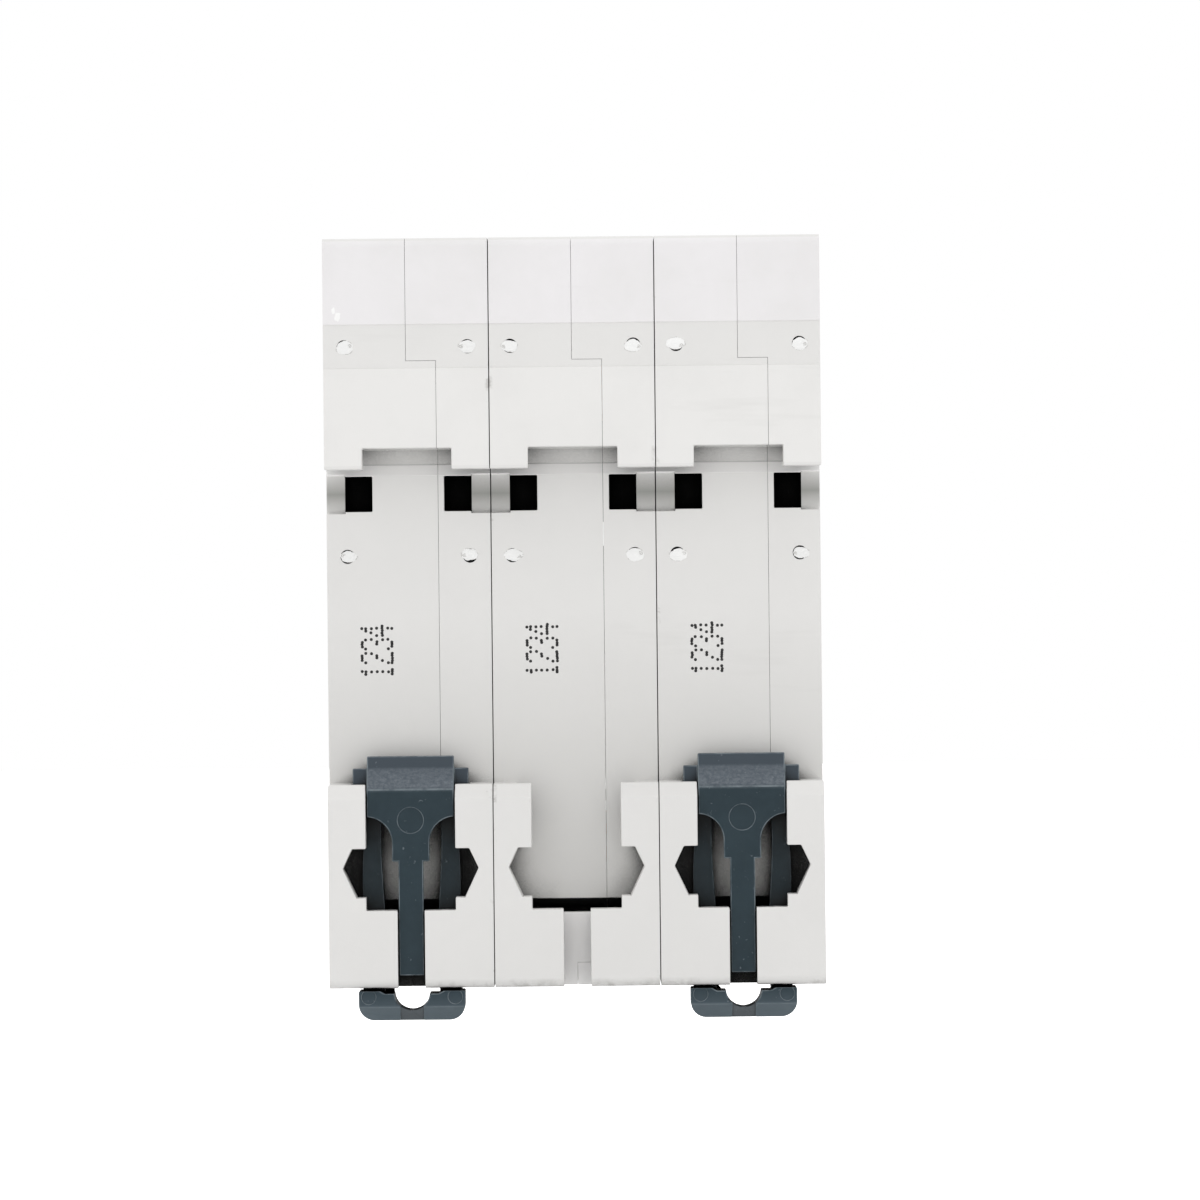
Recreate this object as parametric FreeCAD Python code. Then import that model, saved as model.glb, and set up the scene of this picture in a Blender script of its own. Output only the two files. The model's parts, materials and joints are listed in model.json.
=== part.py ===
import FreeCAD, Part
import math
import os

# Miniature circuit breaker with three poles, for a 35 mm top hat rail. Millimetres.
# X runs across the poles, the front with the toggles faces -Y, and +Z is up as mounted.
# The origin lies on the seat for the rail, at the rail's middle line and the middle pole.
# It is drawn switched off: the toggles hang down, the contacts and the terminals are open.

Vec = FreeCAD.Vector

# Body
pole_count = 3
pole_pitch = 17.7
pole_gap = 0.1
body_height = 80.0
body_rise = 0.3
lip_reach = 6.0
shoulder_depth = 43.5
shoulder_slope = 1.0
panel_depth = 60.0
panel_height = 45.0
wall = 1.3
back_wall = 2.1
side_wall = 1.1
corner_radius = 1.0
panel_radius = 1.6
seam_gap = 0.04
seam_jog = 3.2
seam_jog_top = 13.1
seam_jog_bottom = 2.4
band_height = 4.7
band_drop = 9.2
band_depth = 0.12
skin = 0.05

# Seat for the rail
rail_height = 35.0
rail_sheet = 1.0
rail_play = 0.4
rail_hold = 1.85
foot_play = 0.5
foot_bevel = 1.5
groove_width = 1.6
groove_dip = 0.8
groove_ramp = 1.15
lip_notch_width = 9.55
window_width = 2.95
window_height = 3.8
window_inset = 3.85
window_drop = 0.65
side_step_depth = 0.9
side_step_lap = 0.2

# Rail clip and the channel that it slides in
channel_width = 9.55
channel_height = 13.4
channel_gap = 0.9
channel_lap = 0.5
hex_drop = 6.8
hex_height = 5.2
hex_step = 1.48
hex_reach = 0.99
hex_drop_to_tip = 2.1
slot_width = 2.9
guide_width = 12.6
guide_depth = 2.6
guide_height = 4.3
leg_channel_width = 11.5
tongue_rest_width = 5.2
tongue_rest = 1.0
clip_travel = 3.5
clip_play = 0.12
clip_lift = 0.3
clip_rear_inset = 0.8
clip_sheet = 1.3
clip_hook = 2.5
nose_lip = 1.0
nose_step = 0.6
nose_step_drop = 1.4
nose_slope_drop = 3.5
nose_height = 4.6
ear_top_drop = 1.3
ear_height = 2.2
ear_play = 0.1
ear_sheet = 1.1
plate_drop = 6.2
plate_scoop = 2.77
neck_height = 2.0
neck_half = 2.0
stem_end_gap = 1.35
clip_mark_drop = 3.8
clip_mark_radius = 1.4
mark_depth = 0.1
leg_sheet = 1.6
leg_root_inner = 2.95
leg_root_outer = 4.3
leg_waist_drop = 6.0
leg_waist_inner = 3.2
leg_waist_outer = 5.1
leg_foot_drop = 12.0
leg_foot_inner = 2.95
leg_foot_outer = 5.3
grip_width = 11.34
grip_height = 3.15
grip_gap = 0.3
grip_depth = 5.5
grip_radius = 1.7
grip_notch_radius = 1.88
grip_notch_drop = 0.2
grip_bevel = 1.3
grip_bevel_height = 1.5
grip_step = 0.27
grip_step_outer = 3.46
grip_step_inner = 2.85
grip_strip_half = 1.25
grip_strip_sink = 0.25
grip_mark_radius = 0.78
grip_mark_inset = 1.05
grip_mark_drop = 0.62

# Melted stakes on the rear
stake_radius = 0.7
stake_inset = 2.23
stake_depth = 0.8
stake_crown = 0.12
upper_stake_height = 28.7
seat_stake_height = 6.4
stake_play = 0.05

# Terminals
terminal_inset = 9.3
terminal_wall_gap = 5.4
rib = 1.0
head_gap = 0.3
head_radius = 3.0
head_height = 3.0
cross_width = 0.9
cross_length = 4.4
cross_depth = 1.6
shank_radius = 1.95
thread_play = 0.05
driver_radius = 3.3
bus_drop = 14.9
bus_sheet = 1.5
bus_width = 8.2
bus_overhang = 4.2
bus_play = 0.1
tip_gap = 0.15
cage_travel = 7.0
cage_gap = 0.2
cage_width = 11.2
cage_height = 7.0
cage_sheet = 1.2
cage_nut = 1.5
cage_mouth = 12.8
cage_radius = 0.7
entry_width = 9.2
entry_height = 8.8
entry_gap = 0.2
entry_radius = 1.4
vent_width = 1.0
vent_length = 10.0
vent_count = 4
vent_pitch = 2.1
vent_start = 4.6

# Toggles
toggle_inset = 9.6
toggle_rise = 0.5
toggle_swing = 76.0
toggle_width = 9.4
hub_radius = 5.2
skirt_radius = 9.2
skirt_upper_angle = 90.0
skirt_lower_angle = 72.0
stub_radius = 2.0
stub_reach = 0.3
stub_play = 0.05
stub_boss_radius = 3.6
stub_boss = 0.65
lever_start = 3.0
lever_root = 5.2
lever_tip = 3.4
lever_reach = 21.6
lever_tip_inset = 0.5
toggle_slot_play = 0.3
toggle_slot_half = 10.6
tie_reach = 22.6
tie_start = 16.2
tie_thickness = 6.0
tie_play = 0.12
tie_overhang = 0.9
tie_radius = 1.0
tie_rib_count = 5

# Link from each toggle to its contact arm
link_offset = 3.2
link_wire = 0.6
link_hole_play = 0.05
link_lean = 3.92
link_drop = 8.51
link_side_gap = 0.8
link_inner_reach = 1.0

# Contact arm
arm_pivot_gap = 4.2
arm_pivot_height = -8.0
arm_swing = 16.0
arm_width = 3.0
arm_hub_radius = 3.0
arm_pin_radius = 1.2
arm_pin_play = 0.05
arm_boss_radius = 2.7
arm_boss = 1.8
arm_reach = 12.0
arm_tip_rise = 9.0
arm_tip_length = 4.0
arm_tip_height = 2.6
arm_neck_radius = 1.3
arm_slot_half = 0.55
arm_slot_shift = 0.41
arm_slot_play = 0.25
arm_eye_radius = 2.3
arm_tail_radius = 2.6
contact_radius = 1.7
contact_height = 0.9
contact_gap = 0.3
spring_gap = 0.35
spring_length = 3.0
spring_wire = 0.55
spring_turns = 3
spring_play = 0.3

# Fixed contact and arc chute
runner_sheet = 1.2
runner_width = 5.6
runner_front = 5.2
runner_rise = 4.2
runner_bend = 1.6
runner_ramp = 2.6
chute_gap = 0.3
chute_arc_gap = 5.0
chute_arc_drop = 5.4
chute_width = 11.8
chute_side = 0.6
chute_plates = 9
chute_sheet = 1.0
chute_notch_depth = 5.0
chute_notch_width = 4.4

# Coil, yoke and plunger
coil_inset = 9.5
coil_turns = 4
coil_radius = 5.8
coil_core_radius = 3.0
coil_rear_gap = 5.3
bobbin_flange = 0.8
bobbin_flange_radius = 6.0
bobbin_bore = 2.35
yoke_gap = 3.4
yoke_sheet = 1.0
yoke_width = 6.0
yoke_foot_gap = 0.6
lead_radius = 0.7
lead_side = 3.9
plunger_radius = 2.25
plunger_end_gap = 1.8
plunger_nose_radius = 1.1
plunger_nose_play = 0.08
plunger_stroke = 3.0
plunger_spring_radius = 1.95
plunger_spring_turns = 3
plunger_rest_gap = 0.1

# Trip bar, bimetal and calibration screw
trip_bar_gap = 7.2
trip_bar_inset = 4.3
trip_bar_radius = 1.3
trip_hub_radius = 2.2
trip_knee_radius = 1.1
trip_toe_radius = 0.9
trip_left = 1.5
trip_gap = 0.35
bimetal_sheet = 0.9
bimetal_width = 3.6
bimetal_side = 2.2
bimetal_overlap = 3.5
bimetal_reach = 27.0
adjuster_radius = 1.1
adjuster_length = 9.0
adjuster_play = 0.05
adjuster_block = 2.6
adjuster_slot = 0.45
adjuster_slot_depth = 0.8
braid_width = 2.4
braid_sheet = 0.9
braid_drop = 2.2
braid_reach = 1.6
braid_gap = 0.1

# Rivets through the three poles
rivet_radius = 1.1
rivet_play = 0.05
rivet_tube_radius = 2.2
rivet_head_radius = 2.5
rivet_head_play = 0.3
rivet_head_height = 0.5
rivet_sink = 0.6
rivet_rear_depth = 8.0
rivet_front_inset = 12.5
rivet_front_height = 17.0

# Places worked out from the sizes above
body_top = body_rise + body_height / 2
body_bottom = body_rise - body_height / 2
half_width = (pole_pitch - pole_gap) / 2
inside_half = half_width - side_wall
panel_half = panel_height / 2
groove_top = rail_height / 2 + rail_play
lip_edge = rail_height / 2 - rail_hold
foot_top = -rail_height / 2 - foot_play
band_top = body_top - band_drop
seam_upper = body_top - seam_jog_top
seam_lower = body_bottom + seam_jog_bottom
window_top = lip_edge - window_drop
window_bottom = window_top - window_height
channel_bottom = foot_top - channel_height
hex_top = foot_top - hex_drop
hex_tip = hex_top - hex_drop_to_tip
hex_bottom = hex_top - hex_height
guide_bottom = foot_top - guide_height
rest_top = channel_bottom - channel_lap
clip_rear = lip_reach - clip_rear_inset
clip_half = channel_width / 2 - clip_play
stem_half = slot_width / 2 - clip_play
nose_front = rail_sheet + clip_lift
nose_top = -rail_height / 2 + clip_hook
nose_bottom = nose_top - nose_height
shoulder_inside = -shoulder_depth + wall
panel_inside = -panel_depth + wall
terminal_rise = body_height / 2 - terminal_inset
head_front = shoulder_inside + head_gap
head_back = head_front + head_height
bus_front = shoulder_inside + bus_drop
bus_rear = bus_front + bus_sheet
shank_tip = bus_front - tip_gap
cage_front = head_back + cage_gap + cage_travel
cage_rear = cage_front + cage_nut + cage_mouth + cage_sheet
entry_front = bus_rear + entry_gap
entry_rear = entry_front + entry_height
chamber_floor = terminal_rise - terminal_wall_gap
axis_y = -panel_depth + toggle_inset
axis_z = toggle_rise
half_swing = toggle_swing / 2
link_eye_y = axis_y + link_offset * math.cos(math.radians(half_swing))
link_eye_z = axis_z + link_offset * math.sin(math.radians(half_swing))
link_foot_y = link_eye_y + link_lean
link_foot_z = link_eye_z - link_drop
link_side = toggle_width / 2 + link_side_gap + link_wire
pivot_y = bus_rear - arm_pivot_gap
pivot_z = arm_pivot_height
tip_y = pivot_y + arm_reach
tip_top = pivot_z + arm_tip_rise
contact_closed = tip_top + contact_height
fixed_face = contact_closed + contact_gap
runner_low = fixed_face + contact_height
chute_rear = -back_wall - chute_gap
chute_front = tip_y + chute_arc_gap
chute_floor = -chamber_floor + chute_gap
chute_top = tip_top - chute_arc_drop
coil_height = chamber_floor - coil_inset
coil_rear = -back_wall - coil_rear_gap
yoke_front = bus_rear + yoke_gap
coil_front = yoke_front + yoke_sheet
yoke_top = chamber_floor - chute_gap
yoke_bottom = runner_low + runner_sheet + runner_rise + yoke_foot_gap
plunger_front = coil_front + bobbin_flange + plunger_stroke + plunger_rest_gap
plunger_rear = coil_rear - plunger_end_gap
plunger_tip = yoke_front - plunger_stroke / 2
trip_y = bus_rear - trip_bar_gap
trip_z = chamber_floor - trip_bar_inset
knee_y = plunger_tip - plunger_stroke - trip_gap - trip_knee_radius
knee_z = coil_height
bimetal_rear = bus_rear + bimetal_sheet
bimetal_foot = -chamber_floor
bimetal_top = bimetal_foot + bimetal_reach
toe_y = bus_rear - trip_gap - trip_toe_radius
toe_z = bimetal_top - trip_toe_radius
adjuster_z = bimetal_foot + adjuster_block
rivet_places = [
    (-rivet_rear_depth, terminal_rise),
    (-rivet_rear_depth, -terminal_rise),
    (-panel_depth + rivet_front_inset, rivet_front_height),
    (-panel_depth + rivet_front_inset, -rivet_front_height),
]
pole_places = [(i - (pole_count - 1) / 2) * pole_pitch for i in range(pole_count)]
span_half = pole_places[-1] + half_width


# Simple solids

def block(x0, x1, y0, y1, z0, z1):
    return Part.makeBox(x1 - x0, y1 - y0, z1 - z0, Vec(x0, y0, z0))


def rod_x(y, z, radius, x0, x1):
    return Part.makeCylinder(radius, x1 - x0, Vec(x0, y, z), Vec(1, 0, 0))


def rod_y(x, z, radius, y0, y1):
    return Part.makeCylinder(radius, y1 - y0, Vec(x, y0, z), Vec(0, 1, 0))


def rod_z(x, y, radius, z0, z1):
    return Part.makeCylinder(radius, z1 - z0, Vec(x, y, z0), Vec(0, 0, 1))


# A side outline, points in (y, z), pushed along X
def side_prism(outline, x0, x1):
    corners = [Vec(x0, y, z) for y, z in outline]
    face = Part.Face(Part.makePolygon(corners + corners[:1]))
    return face.extrude(Vec(x1 - x0, 0, 0))


# A rear outline, points in (x, z), pushed along Y
def rear_prism(outline, y0, y1):
    corners = [Vec(x, y0, z) for x, z in outline]
    face = Part.Face(Part.makePolygon(corners + corners[:1]))
    return face.extrude(Vec(0, y1 - y0, 0))


# The straight edges of a shape that run along one axis through given places
def edges_along(shape, axis, places):
    others = [i for i in range(3) if i != axis]
    found = []
    for edge in shape.Edges:
        ends = [tuple(v.Point) for v in edge.Vertexes]
        if len(ends) != 2 or abs(ends[0][axis] - ends[1][axis]) < skin:
            continue
        for place in places:
            gaps = [abs(end[k] - place[n]) for end in ends for n, k in enumerate(others)]
            if max(gaps) < skin:
                found.append(edge)
    return found


def rounded_block(x0, x1, y0, y1, z0, z1, axis, radius):
    spans = [(x0, x1), (y0, y1), (z0, z1)]
    a, b = [spans[i] for i in range(3) if i != axis]
    corners = [(p, q) for p in a for q in b]
    body = block(x0, x1, y0, y1, z0, z1)
    return body.makeFillet(radius, edges_along(body, axis, corners))


# Two circles in the side view, joined by their tangents, pushed along X
def strap(centre_a, radius_a, centre_b, radius_b, x0, x1):
    dy = centre_b[0] - centre_a[0]
    dz = centre_b[1] - centre_a[1]
    length = math.hypot(dy, dz)
    lean = math.acos((radius_a - radius_b) / length)
    heading = math.atan2(dz, dy)
    corners = []
    for centre, radius, sides in ((centre_a, radius_a, (1, -1)), (centre_b, radius_b, (-1, 1))):
        for side in sides:
            turn = heading + side * lean
            corners.append((centre[0] + radius * math.cos(turn), centre[1] + radius * math.sin(turn)))
    middle = side_prism(corners, x0, x1)
    ends = [rod_x(y, z, radius, x0, x1) for (y, z), radius in ((centre_a, radius_a), (centre_b, radius_b))]
    return middle.fuse(ends).removeSplitter()


# Half the outline of a turned piece, points in (radius, place along Y)
def turned_y(outline, x, z):
    corners = [Vec(x + radius, y, z) for radius, y in outline]
    face = Part.Face(Part.makePolygon(corners + corners[:1]))
    return face.revolve(Vec(x, 0, z), Vec(0, 1, 0), 360)


# Turns of wire drawn as ridges round a hollow core, along Y
def winding_y(x, z, inner, outer, y0, y1, turns):
    pitch = (y1 - y0) / turns
    low = outer - min(pitch / 2, (outer - inner) / 2)
    outline = [(inner, y0), (low, y0)]
    for i in range(turns):
        outline.append((outer, y0 + (i + 0.5) * pitch))
        outline.append((low, y0 + (i + 1) * pitch))
    outline.append((inner, y1))
    return turned_y(outline, x, z)


# Straight runs of one section through corner points, mitred where they meet
def mitred_runs(points, section):
    return Part.makePolygon(points).makePipeShell([section], True, False, 1)


# A round wire through corner points, with an arc of one radius at each bend
def bent_wire(points, radius, bend):
    runs = []
    start = points[0]
    for before, corner, after in zip(points, points[1:], points[2:]):
        back = (before - corner).normalize()
        ahead = (after - corner).normalize()
        half_angle = back.getAngle(ahead) / 2
        reach = bend / math.tan(half_angle)
        inward = (back + ahead).normalize()
        middle = corner + inward * (bend / math.sin(half_angle) - bend)
        first = corner + back * reach
        last = corner + ahead * reach
        runs.append(Part.makeLine(start, first))
        runs.append(Part.Arc(first, middle, last).toShape())
        start = last
    runs.append(Part.makeLine(start, points[-1]))
    section = Part.Wire([Part.makeCircle(radius, points[0], points[1] - points[0])])
    return Part.Wire(runs).makePipeShell([section], True, False)


def turned_about_x(shape, y, z, degrees):
    copy = shape.copy()
    copy.rotate(Vec(0, y, z), Vec(1, 0, 0), degrees)
    return copy


# Case

def case_outline():
    shoulder_end = -shoulder_depth + shoulder_slope
    return [
        (lip_reach, body_top),
        (lip_reach, lip_edge),
        (groove_width, lip_edge),
        (groove_width, groove_top),
        (-groove_dip, groove_top),
        (-groove_dip, lip_edge + groove_ramp / 2),
        (0, lip_edge - groove_ramp / 2),
        (0, foot_top),
        (lip_reach - foot_bevel, foot_top),
        (lip_reach, foot_top - foot_bevel),
        (lip_reach, body_bottom),
        (shoulder_end, body_bottom),
        (-shoulder_depth, -panel_half),
        (-panel_depth, -panel_half),
        (-panel_depth, panel_half),
        (-shoulder_depth, panel_half),
        (shoulder_end, body_top),
    ]


def case_blank():
    blank = side_prism(case_outline(), -half_width, half_width)
    shoulder_end = -shoulder_depth + shoulder_slope
    outer = [(lip_reach, body_top), (lip_reach, body_bottom), (shoulder_end, body_top), (shoulder_end, body_bottom)]
    blank = blank.makeFillet(corner_radius, edges_along(blank, 0, outer))
    nose = [(-panel_depth, panel_half), (-panel_depth, -panel_half)]
    return blank.makeFillet(panel_radius, edges_along(blank, 0, nose))


def case_cavity():
    outline = [
        (lip_reach - wall, body_top - wall),
        (lip_reach - wall, groove_top + wall),
        (-back_wall, groove_top + wall),
        (-back_wall, body_bottom + wall),
        (shoulder_inside + shoulder_slope, body_bottom + wall),
        (shoulder_inside, -panel_half + wall),
        (panel_inside, -panel_half + wall),
        (panel_inside, panel_half - wall),
        (shoulder_inside, panel_half - wall),
        (shoulder_inside + shoulder_slope, body_top - wall),
    ]
    return side_prism(outline, -inside_half, inside_half)


# Walls between the terminal chambers and the mechanism, and behind each cable entry
def case_ribs():
    ribs = []
    for side in (1, -1):
        low, high = sorted((side * chamber_floor, side * (chamber_floor + rib)))
        ribs.append(block(-inside_half, inside_half, shoulder_inside, bus_front - bus_play, low, high))
        ribs.append(block(-inside_half, inside_half, bus_rear + bus_play, -back_wall, low, high))
        end = body_top - wall if side > 0 else body_bottom + wall
        low, high = sorted((side * chamber_floor, end))
        ribs.append(block(-inside_half, inside_half, cage_rear + rib, cage_rear + 2 * rib, low, high))
    low = -chamber_floor
    block_front = bus_front - adjuster_length + rib
    high = adjuster_z + adjuster_radius + rib
    ribs.append(block(0, inside_half, block_front, block_front + 2 * rib, low, high))
    return ribs


def case_bosses():
    bosses = [rod_x(y, z, rivet_tube_radius, -inside_half, inside_half) for y, z in rivet_places]
    for side in (1, -1):
        near, far = sorted((side * (inside_half - stub_boss), side * inside_half))
        bosses.append(rod_x(axis_y, axis_z, stub_boss_radius, near, far))
        near, far = sorted((side * (inside_half - arm_boss), side * inside_half))
        bosses.append(rod_x(pivot_y, pivot_z, arm_boss_radius, near, far))
    return bosses


def mirrored_spans(near, far):
    return [(near, far), (-far, -near)]


# Rear of the case: windows, side steps, notch in the lip, channel and slot for the clip
def rear_cuts():
    cuts = []
    window_end = window_inset + window_width
    for x0, x1 in mirrored_spans(window_inset, window_end):
        cuts.append(block(x0, x1, -back_wall - skin, skin, window_bottom, window_top))
    for x0, x1 in mirrored_spans(window_end - skin, half_width + skin):
        low = window_bottom - side_step_lap
        cuts.append(block(x0, x1, -side_step_depth, skin, low, window_top + side_step_lap))
    notch = lip_notch_width / 2
    cuts.append(block(-notch, notch, groove_width - skin, lip_reach + skin, lip_edge - skin, groove_top))
    band_end = band_top - band_height
    cuts.append(block(-half_width, half_width, lip_reach - band_depth, lip_reach + skin, band_end, band_top))
    half = channel_width / 2
    step = half + hex_step
    tip = step + hex_reach
    foot = half + hex_reach
    side = [(half, foot_top + skin), (half, hex_top), (step, hex_top), (tip, hex_tip), (foot, hex_bottom)]
    side += [(half, hex_bottom), (half, channel_bottom)]
    outline = side + [(-x, z) for x, z in reversed(side)]
    cuts.append(rear_prism(outline, 0, lip_reach + skin))
    guide = guide_width / 2
    cuts.append(block(-guide, guide, 0, guide_depth, guide_bottom, foot_top + skin))
    legs = leg_channel_width / 2
    rest = tongue_rest_width / 2
    cuts.append(block(-legs, legs, 0, guide_depth, rest_top, foot_top + skin))
    cuts.append(block(-legs, legs, tongue_rest, guide_depth, body_bottom - 1, rest_top + skin))
    for x0, x1 in mirrored_spans(rest, legs):
        cuts.append(block(x0, x1, 0, guide_depth, body_bottom - 1, rest_top + skin))
    slot = slot_width / 2
    cuts.append(block(-slot, slot, guide_depth - skin, lip_reach + skin, body_bottom - 1, channel_bottom + skin))
    gap_top = channel_bottom + channel_gap
    cuts.append(block(-half, half, -back_wall - skin, skin, rest_top, gap_top))
    for x, y, z in stake_places():
        cuts.append(rod_y(x, z, stake_radius + stake_play, y - stake_depth, y + skin))
    return cuts


def stake_places():
    side = half_width - stake_inset
    upper = [(x, lip_reach - band_depth, upper_stake_height) for x in (-side, side)]
    return upper + [(x, 0, seat_stake_height) for x in (-side, side)]


# Cable entries, holes for the screwdriver and vents for the arc's gas
def terminal_cuts():
    cuts = []
    entry = entry_width / 2
    for side in (1, -1):
        z = side * terminal_rise
        end = body_top if side > 0 else body_bottom
        low, high = sorted((end - side * (wall + skin), end + side))
        cuts.append(rounded_block(-entry, entry, entry_front, entry_rear, low, high, 2, entry_radius))
        cuts.append(rod_y(0, z, driver_radius, -shoulder_depth - 1, shoulder_inside + shoulder_slope))
    for i in range(vent_count):
        y = -vent_start - i * vent_pitch
        half = vent_length / 2
        cuts.append(block(-half, half, y - vent_width, y, body_bottom - 1, body_bottom + wall + skin))
    return cuts


def front_cuts():
    half = toggle_width / 2 + toggle_slot_play
    low = axis_z - toggle_slot_half
    high = axis_z + toggle_slot_half
    return [block(-half, half, -panel_depth - 1, panel_inside + skin, low, high)]


def bearing_cuts():
    cuts = []
    for side in (1, -1):
        near, far = sorted((0, side * (inside_half + stub_reach + stub_play)))
        cuts.append(rod_x(axis_y, axis_z, stub_radius + stub_play, near, far))
    cuts.append(rod_x(pivot_y, pivot_z, arm_pin_radius + arm_pin_play, -inside_half, inside_half))
    bar_hole = trip_bar_radius + stub_play
    cuts.append(rod_x(trip_y, trip_z, bar_hole, -half_width - 1, half_width + 1))
    for y, z in rivet_places:
        cuts.append(rod_x(y, z, rivet_radius + rivet_play, -half_width - 1, half_width + 1))
        for side in (1, -1):
            near, far = sorted((side * (half_width - rivet_sink), side * (half_width + 1)))
            cuts.append(rod_x(y, z, rivet_head_radius + rivet_head_play, near, far))
    x, z = adjuster_place()
    cuts.append(rod_y(x, z, adjuster_radius + adjuster_play, bus_front - 2 * adjuster_length, bus_front))
    return cuts


def adjuster_place():
    return bimetal_side + bimetal_width / 2, adjuster_z


def whole_case():
    case = case_blank().cut(case_cavity())
    case = case.fuse(case_ribs() + case_bosses())
    case = case.cut(rear_cuts() + terminal_cuts() + front_cuts() + bearing_cuts())
    return case.removeSplitter()


# The region on one side of the stepped seam, from y0 to y1
def seam_region(side, lower, y0, y1):
    far = side * pole_pitch
    play = side * seam_gap / 2
    reach = 2 * body_height
    outline = [
        (far, reach),
        (play, reach),
        (play, seam_upper - play),
        (play - seam_jog, seam_upper - play),
        (play - seam_jog, lower + play),
        (play, lower + play),
        (play, -reach),
        (far, -reach),
    ]
    return rear_prism(outline, y0, y1)


def case_half(case, side):
    front = seam_region(side, seam_lower, -2 * panel_depth, guide_depth)
    rear = seam_region(side, channel_bottom, guide_depth, 2 * lip_reach)
    return case.common(front.fuse(rear)).removeSplitter()


def heat_stakes():
    stakes = []
    for x, y, z in stake_places():
        stakes.append(rod_y(x, z, stake_radius, y - stake_depth, y + stake_crown))
    return stakes


# Rail clip, drawn hooked on the rail

# The flat face with its neck, and the stem that runs in the slot between the lips
def clip_plate():
    neck_top = foot_top - plate_drop
    neck_low = neck_top - neck_height
    front = clip_rear - clip_sheet
    scoop = neck_half + plate_scoop
    plate = block(-clip_half, clip_half, front, clip_rear, neck_top, nose_bottom)
    plate = plate.cut([rod_y(x, neck_top, plate_scoop, front - 1, clip_rear + 1) for x in (-scoop, scoop)])
    neck = block(-neck_half, neck_half, front, clip_rear, neck_low, neck_top)
    stem = block(-stem_half, stem_half, front, clip_rear, body_bottom + stem_end_gap, neck_low)
    return plate.fuse([neck, stem])


# Two bowed legs on the channel's floor, which lead down to the grip
def clip_legs():
    places = [
        (nose_bottom, leg_root_inner, leg_root_outer),
        (foot_top - leg_waist_drop, leg_waist_inner, leg_waist_outer),
        (foot_top - leg_foot_drop, leg_foot_inner, leg_foot_outer),
        (body_bottom - grip_gap - grip_step, leg_foot_inner, leg_foot_outer),
    ]
    legs = []
    for side in (1, -1):
        edges = []
        for column in (1, 2):
            bow = Part.BSplineCurve()
            bow.interpolate([Vec(side * place[column], clip_lift, place[0]) for place in places])
            edges.append(bow.toShape())
        for z, inner, outer in (places[0], places[-1]):
            edges.append(Part.makeLine(Vec(side * inner, clip_lift, z), Vec(side * outer, clip_lift, z)))
        wire = Part.Wire(Part.__sortEdges__(edges))
        legs.append(Part.Face(wire).extrude(Vec(0, leg_sheet, 0)))
    return legs


# The hook over the rail's lower edge, with an ear on each side that the lips hold in
def clip_nose():
    step = nose_front + nose_lip + nose_step
    outline = [
        (nose_front, nose_top),
        (nose_front + nose_lip, nose_top),
        (step, nose_top - nose_step_drop),
        (clip_rear, nose_top - nose_slope_drop),
        (clip_rear, nose_bottom),
        (clip_lift, nose_bottom),
        (clip_lift, foot_top),
        (nose_front, foot_top),
    ]
    nose = side_prism(outline, -clip_half, clip_half)
    ear = guide_width / 2 - ear_play
    top = nose_top - ear_top_drop
    return nose.fuse(block(-ear, ear, nose_front, nose_front + ear_sheet, top - ear_height, top))


# The pull below the case, with a bevelled foot and a notch for a screwdriver
def clip_grip():
    half = grip_width / 2
    top = body_bottom - grip_gap
    low = top - grip_height
    rear = clip_lift + grip_depth
    bevel = low + grip_bevel_height
    sunk = rear - grip_strip_sink
    grip = block(-half, half, clip_lift, rear, low, top)
    grip = grip.makeFillet(grip_radius, edges_along(grip, 1, [(-half, low), (half, low)]))
    foot = [(rear - grip_bevel, low - skin), (rear + skin, low - skin), (rear + skin, bevel)]
    strip = [(sunk - grip_bevel, low - skin), (rear + skin, low - skin), (rear + skin, top), (sunk, top), (sunk, bevel)]
    step = [(grip_step_inner, top - grip_step), (grip_step_outer, top + skin)]
    cuts = [
        side_prism(foot, -half - 1, half + 1),
        side_prism(strip, -grip_strip_half, grip_strip_half),
        rear_prism(step + [(-x, z) for x, z in reversed(step)], clip_lift - 1, rear + 1),
        rod_y(0, top - grip_notch_drop, grip_notch_radius, clip_lift - 1, rear + 1),
    ]
    mark = half - grip_mark_inset
    for x in (-mark, mark):
        cuts.append(rod_y(x, top - grip_mark_drop, grip_mark_radius, rear - mark_depth, rear + 1))
    return grip.cut(cuts)


def rail_clip():
    clip = clip_plate().fuse(clip_legs() + [clip_nose(), clip_grip()])
    mark = rod_y(0, foot_top - clip_mark_drop, clip_mark_radius, clip_rear - mark_depth, clip_rear + 1)
    return clip.cut(mark).removeSplitter()


# Terminals

def terminal_screw(side):
    z = side * terminal_rise
    screw = rod_y(0, z, head_radius, head_front, head_back)
    screw = screw.fuse(rod_y(0, z, shank_radius, head_back, shank_tip))
    long_half = cross_length / 2
    short_half = cross_width / 2
    depth = head_front + cross_depth
    bars = [
        block(-long_half, long_half, head_front - 1, depth, z - short_half, z + short_half),
        block(-short_half, short_half, head_front - 1, depth, z - long_half, z + long_half),
    ]
    return screw.cut(bars)


def terminal_cage(side):
    z = side * terminal_rise
    half = cage_width / 2
    rise = cage_height / 2
    cage = rounded_block(-half, half, cage_front, cage_rear, z - rise, z + rise, 2, cage_radius)
    inner = half - cage_sheet
    mouth = block(-inner, inner, cage_front + cage_nut, cage_rear - cage_sheet, z - rise - 1, z + rise + 1)
    thread = rod_y(0, z, shank_radius + thread_play, cage_front - 1, cage_front + cage_nut + 1)
    return cage.cut([mouth, thread])


def bus_plate(side, start):
    half = bus_width / 2
    low, high = sorted((start, side * (terminal_rise + bus_overhang)))
    return rounded_block(-half, half, bus_front, bus_rear, low, high, 1, 1.0)


# Toggles

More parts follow.
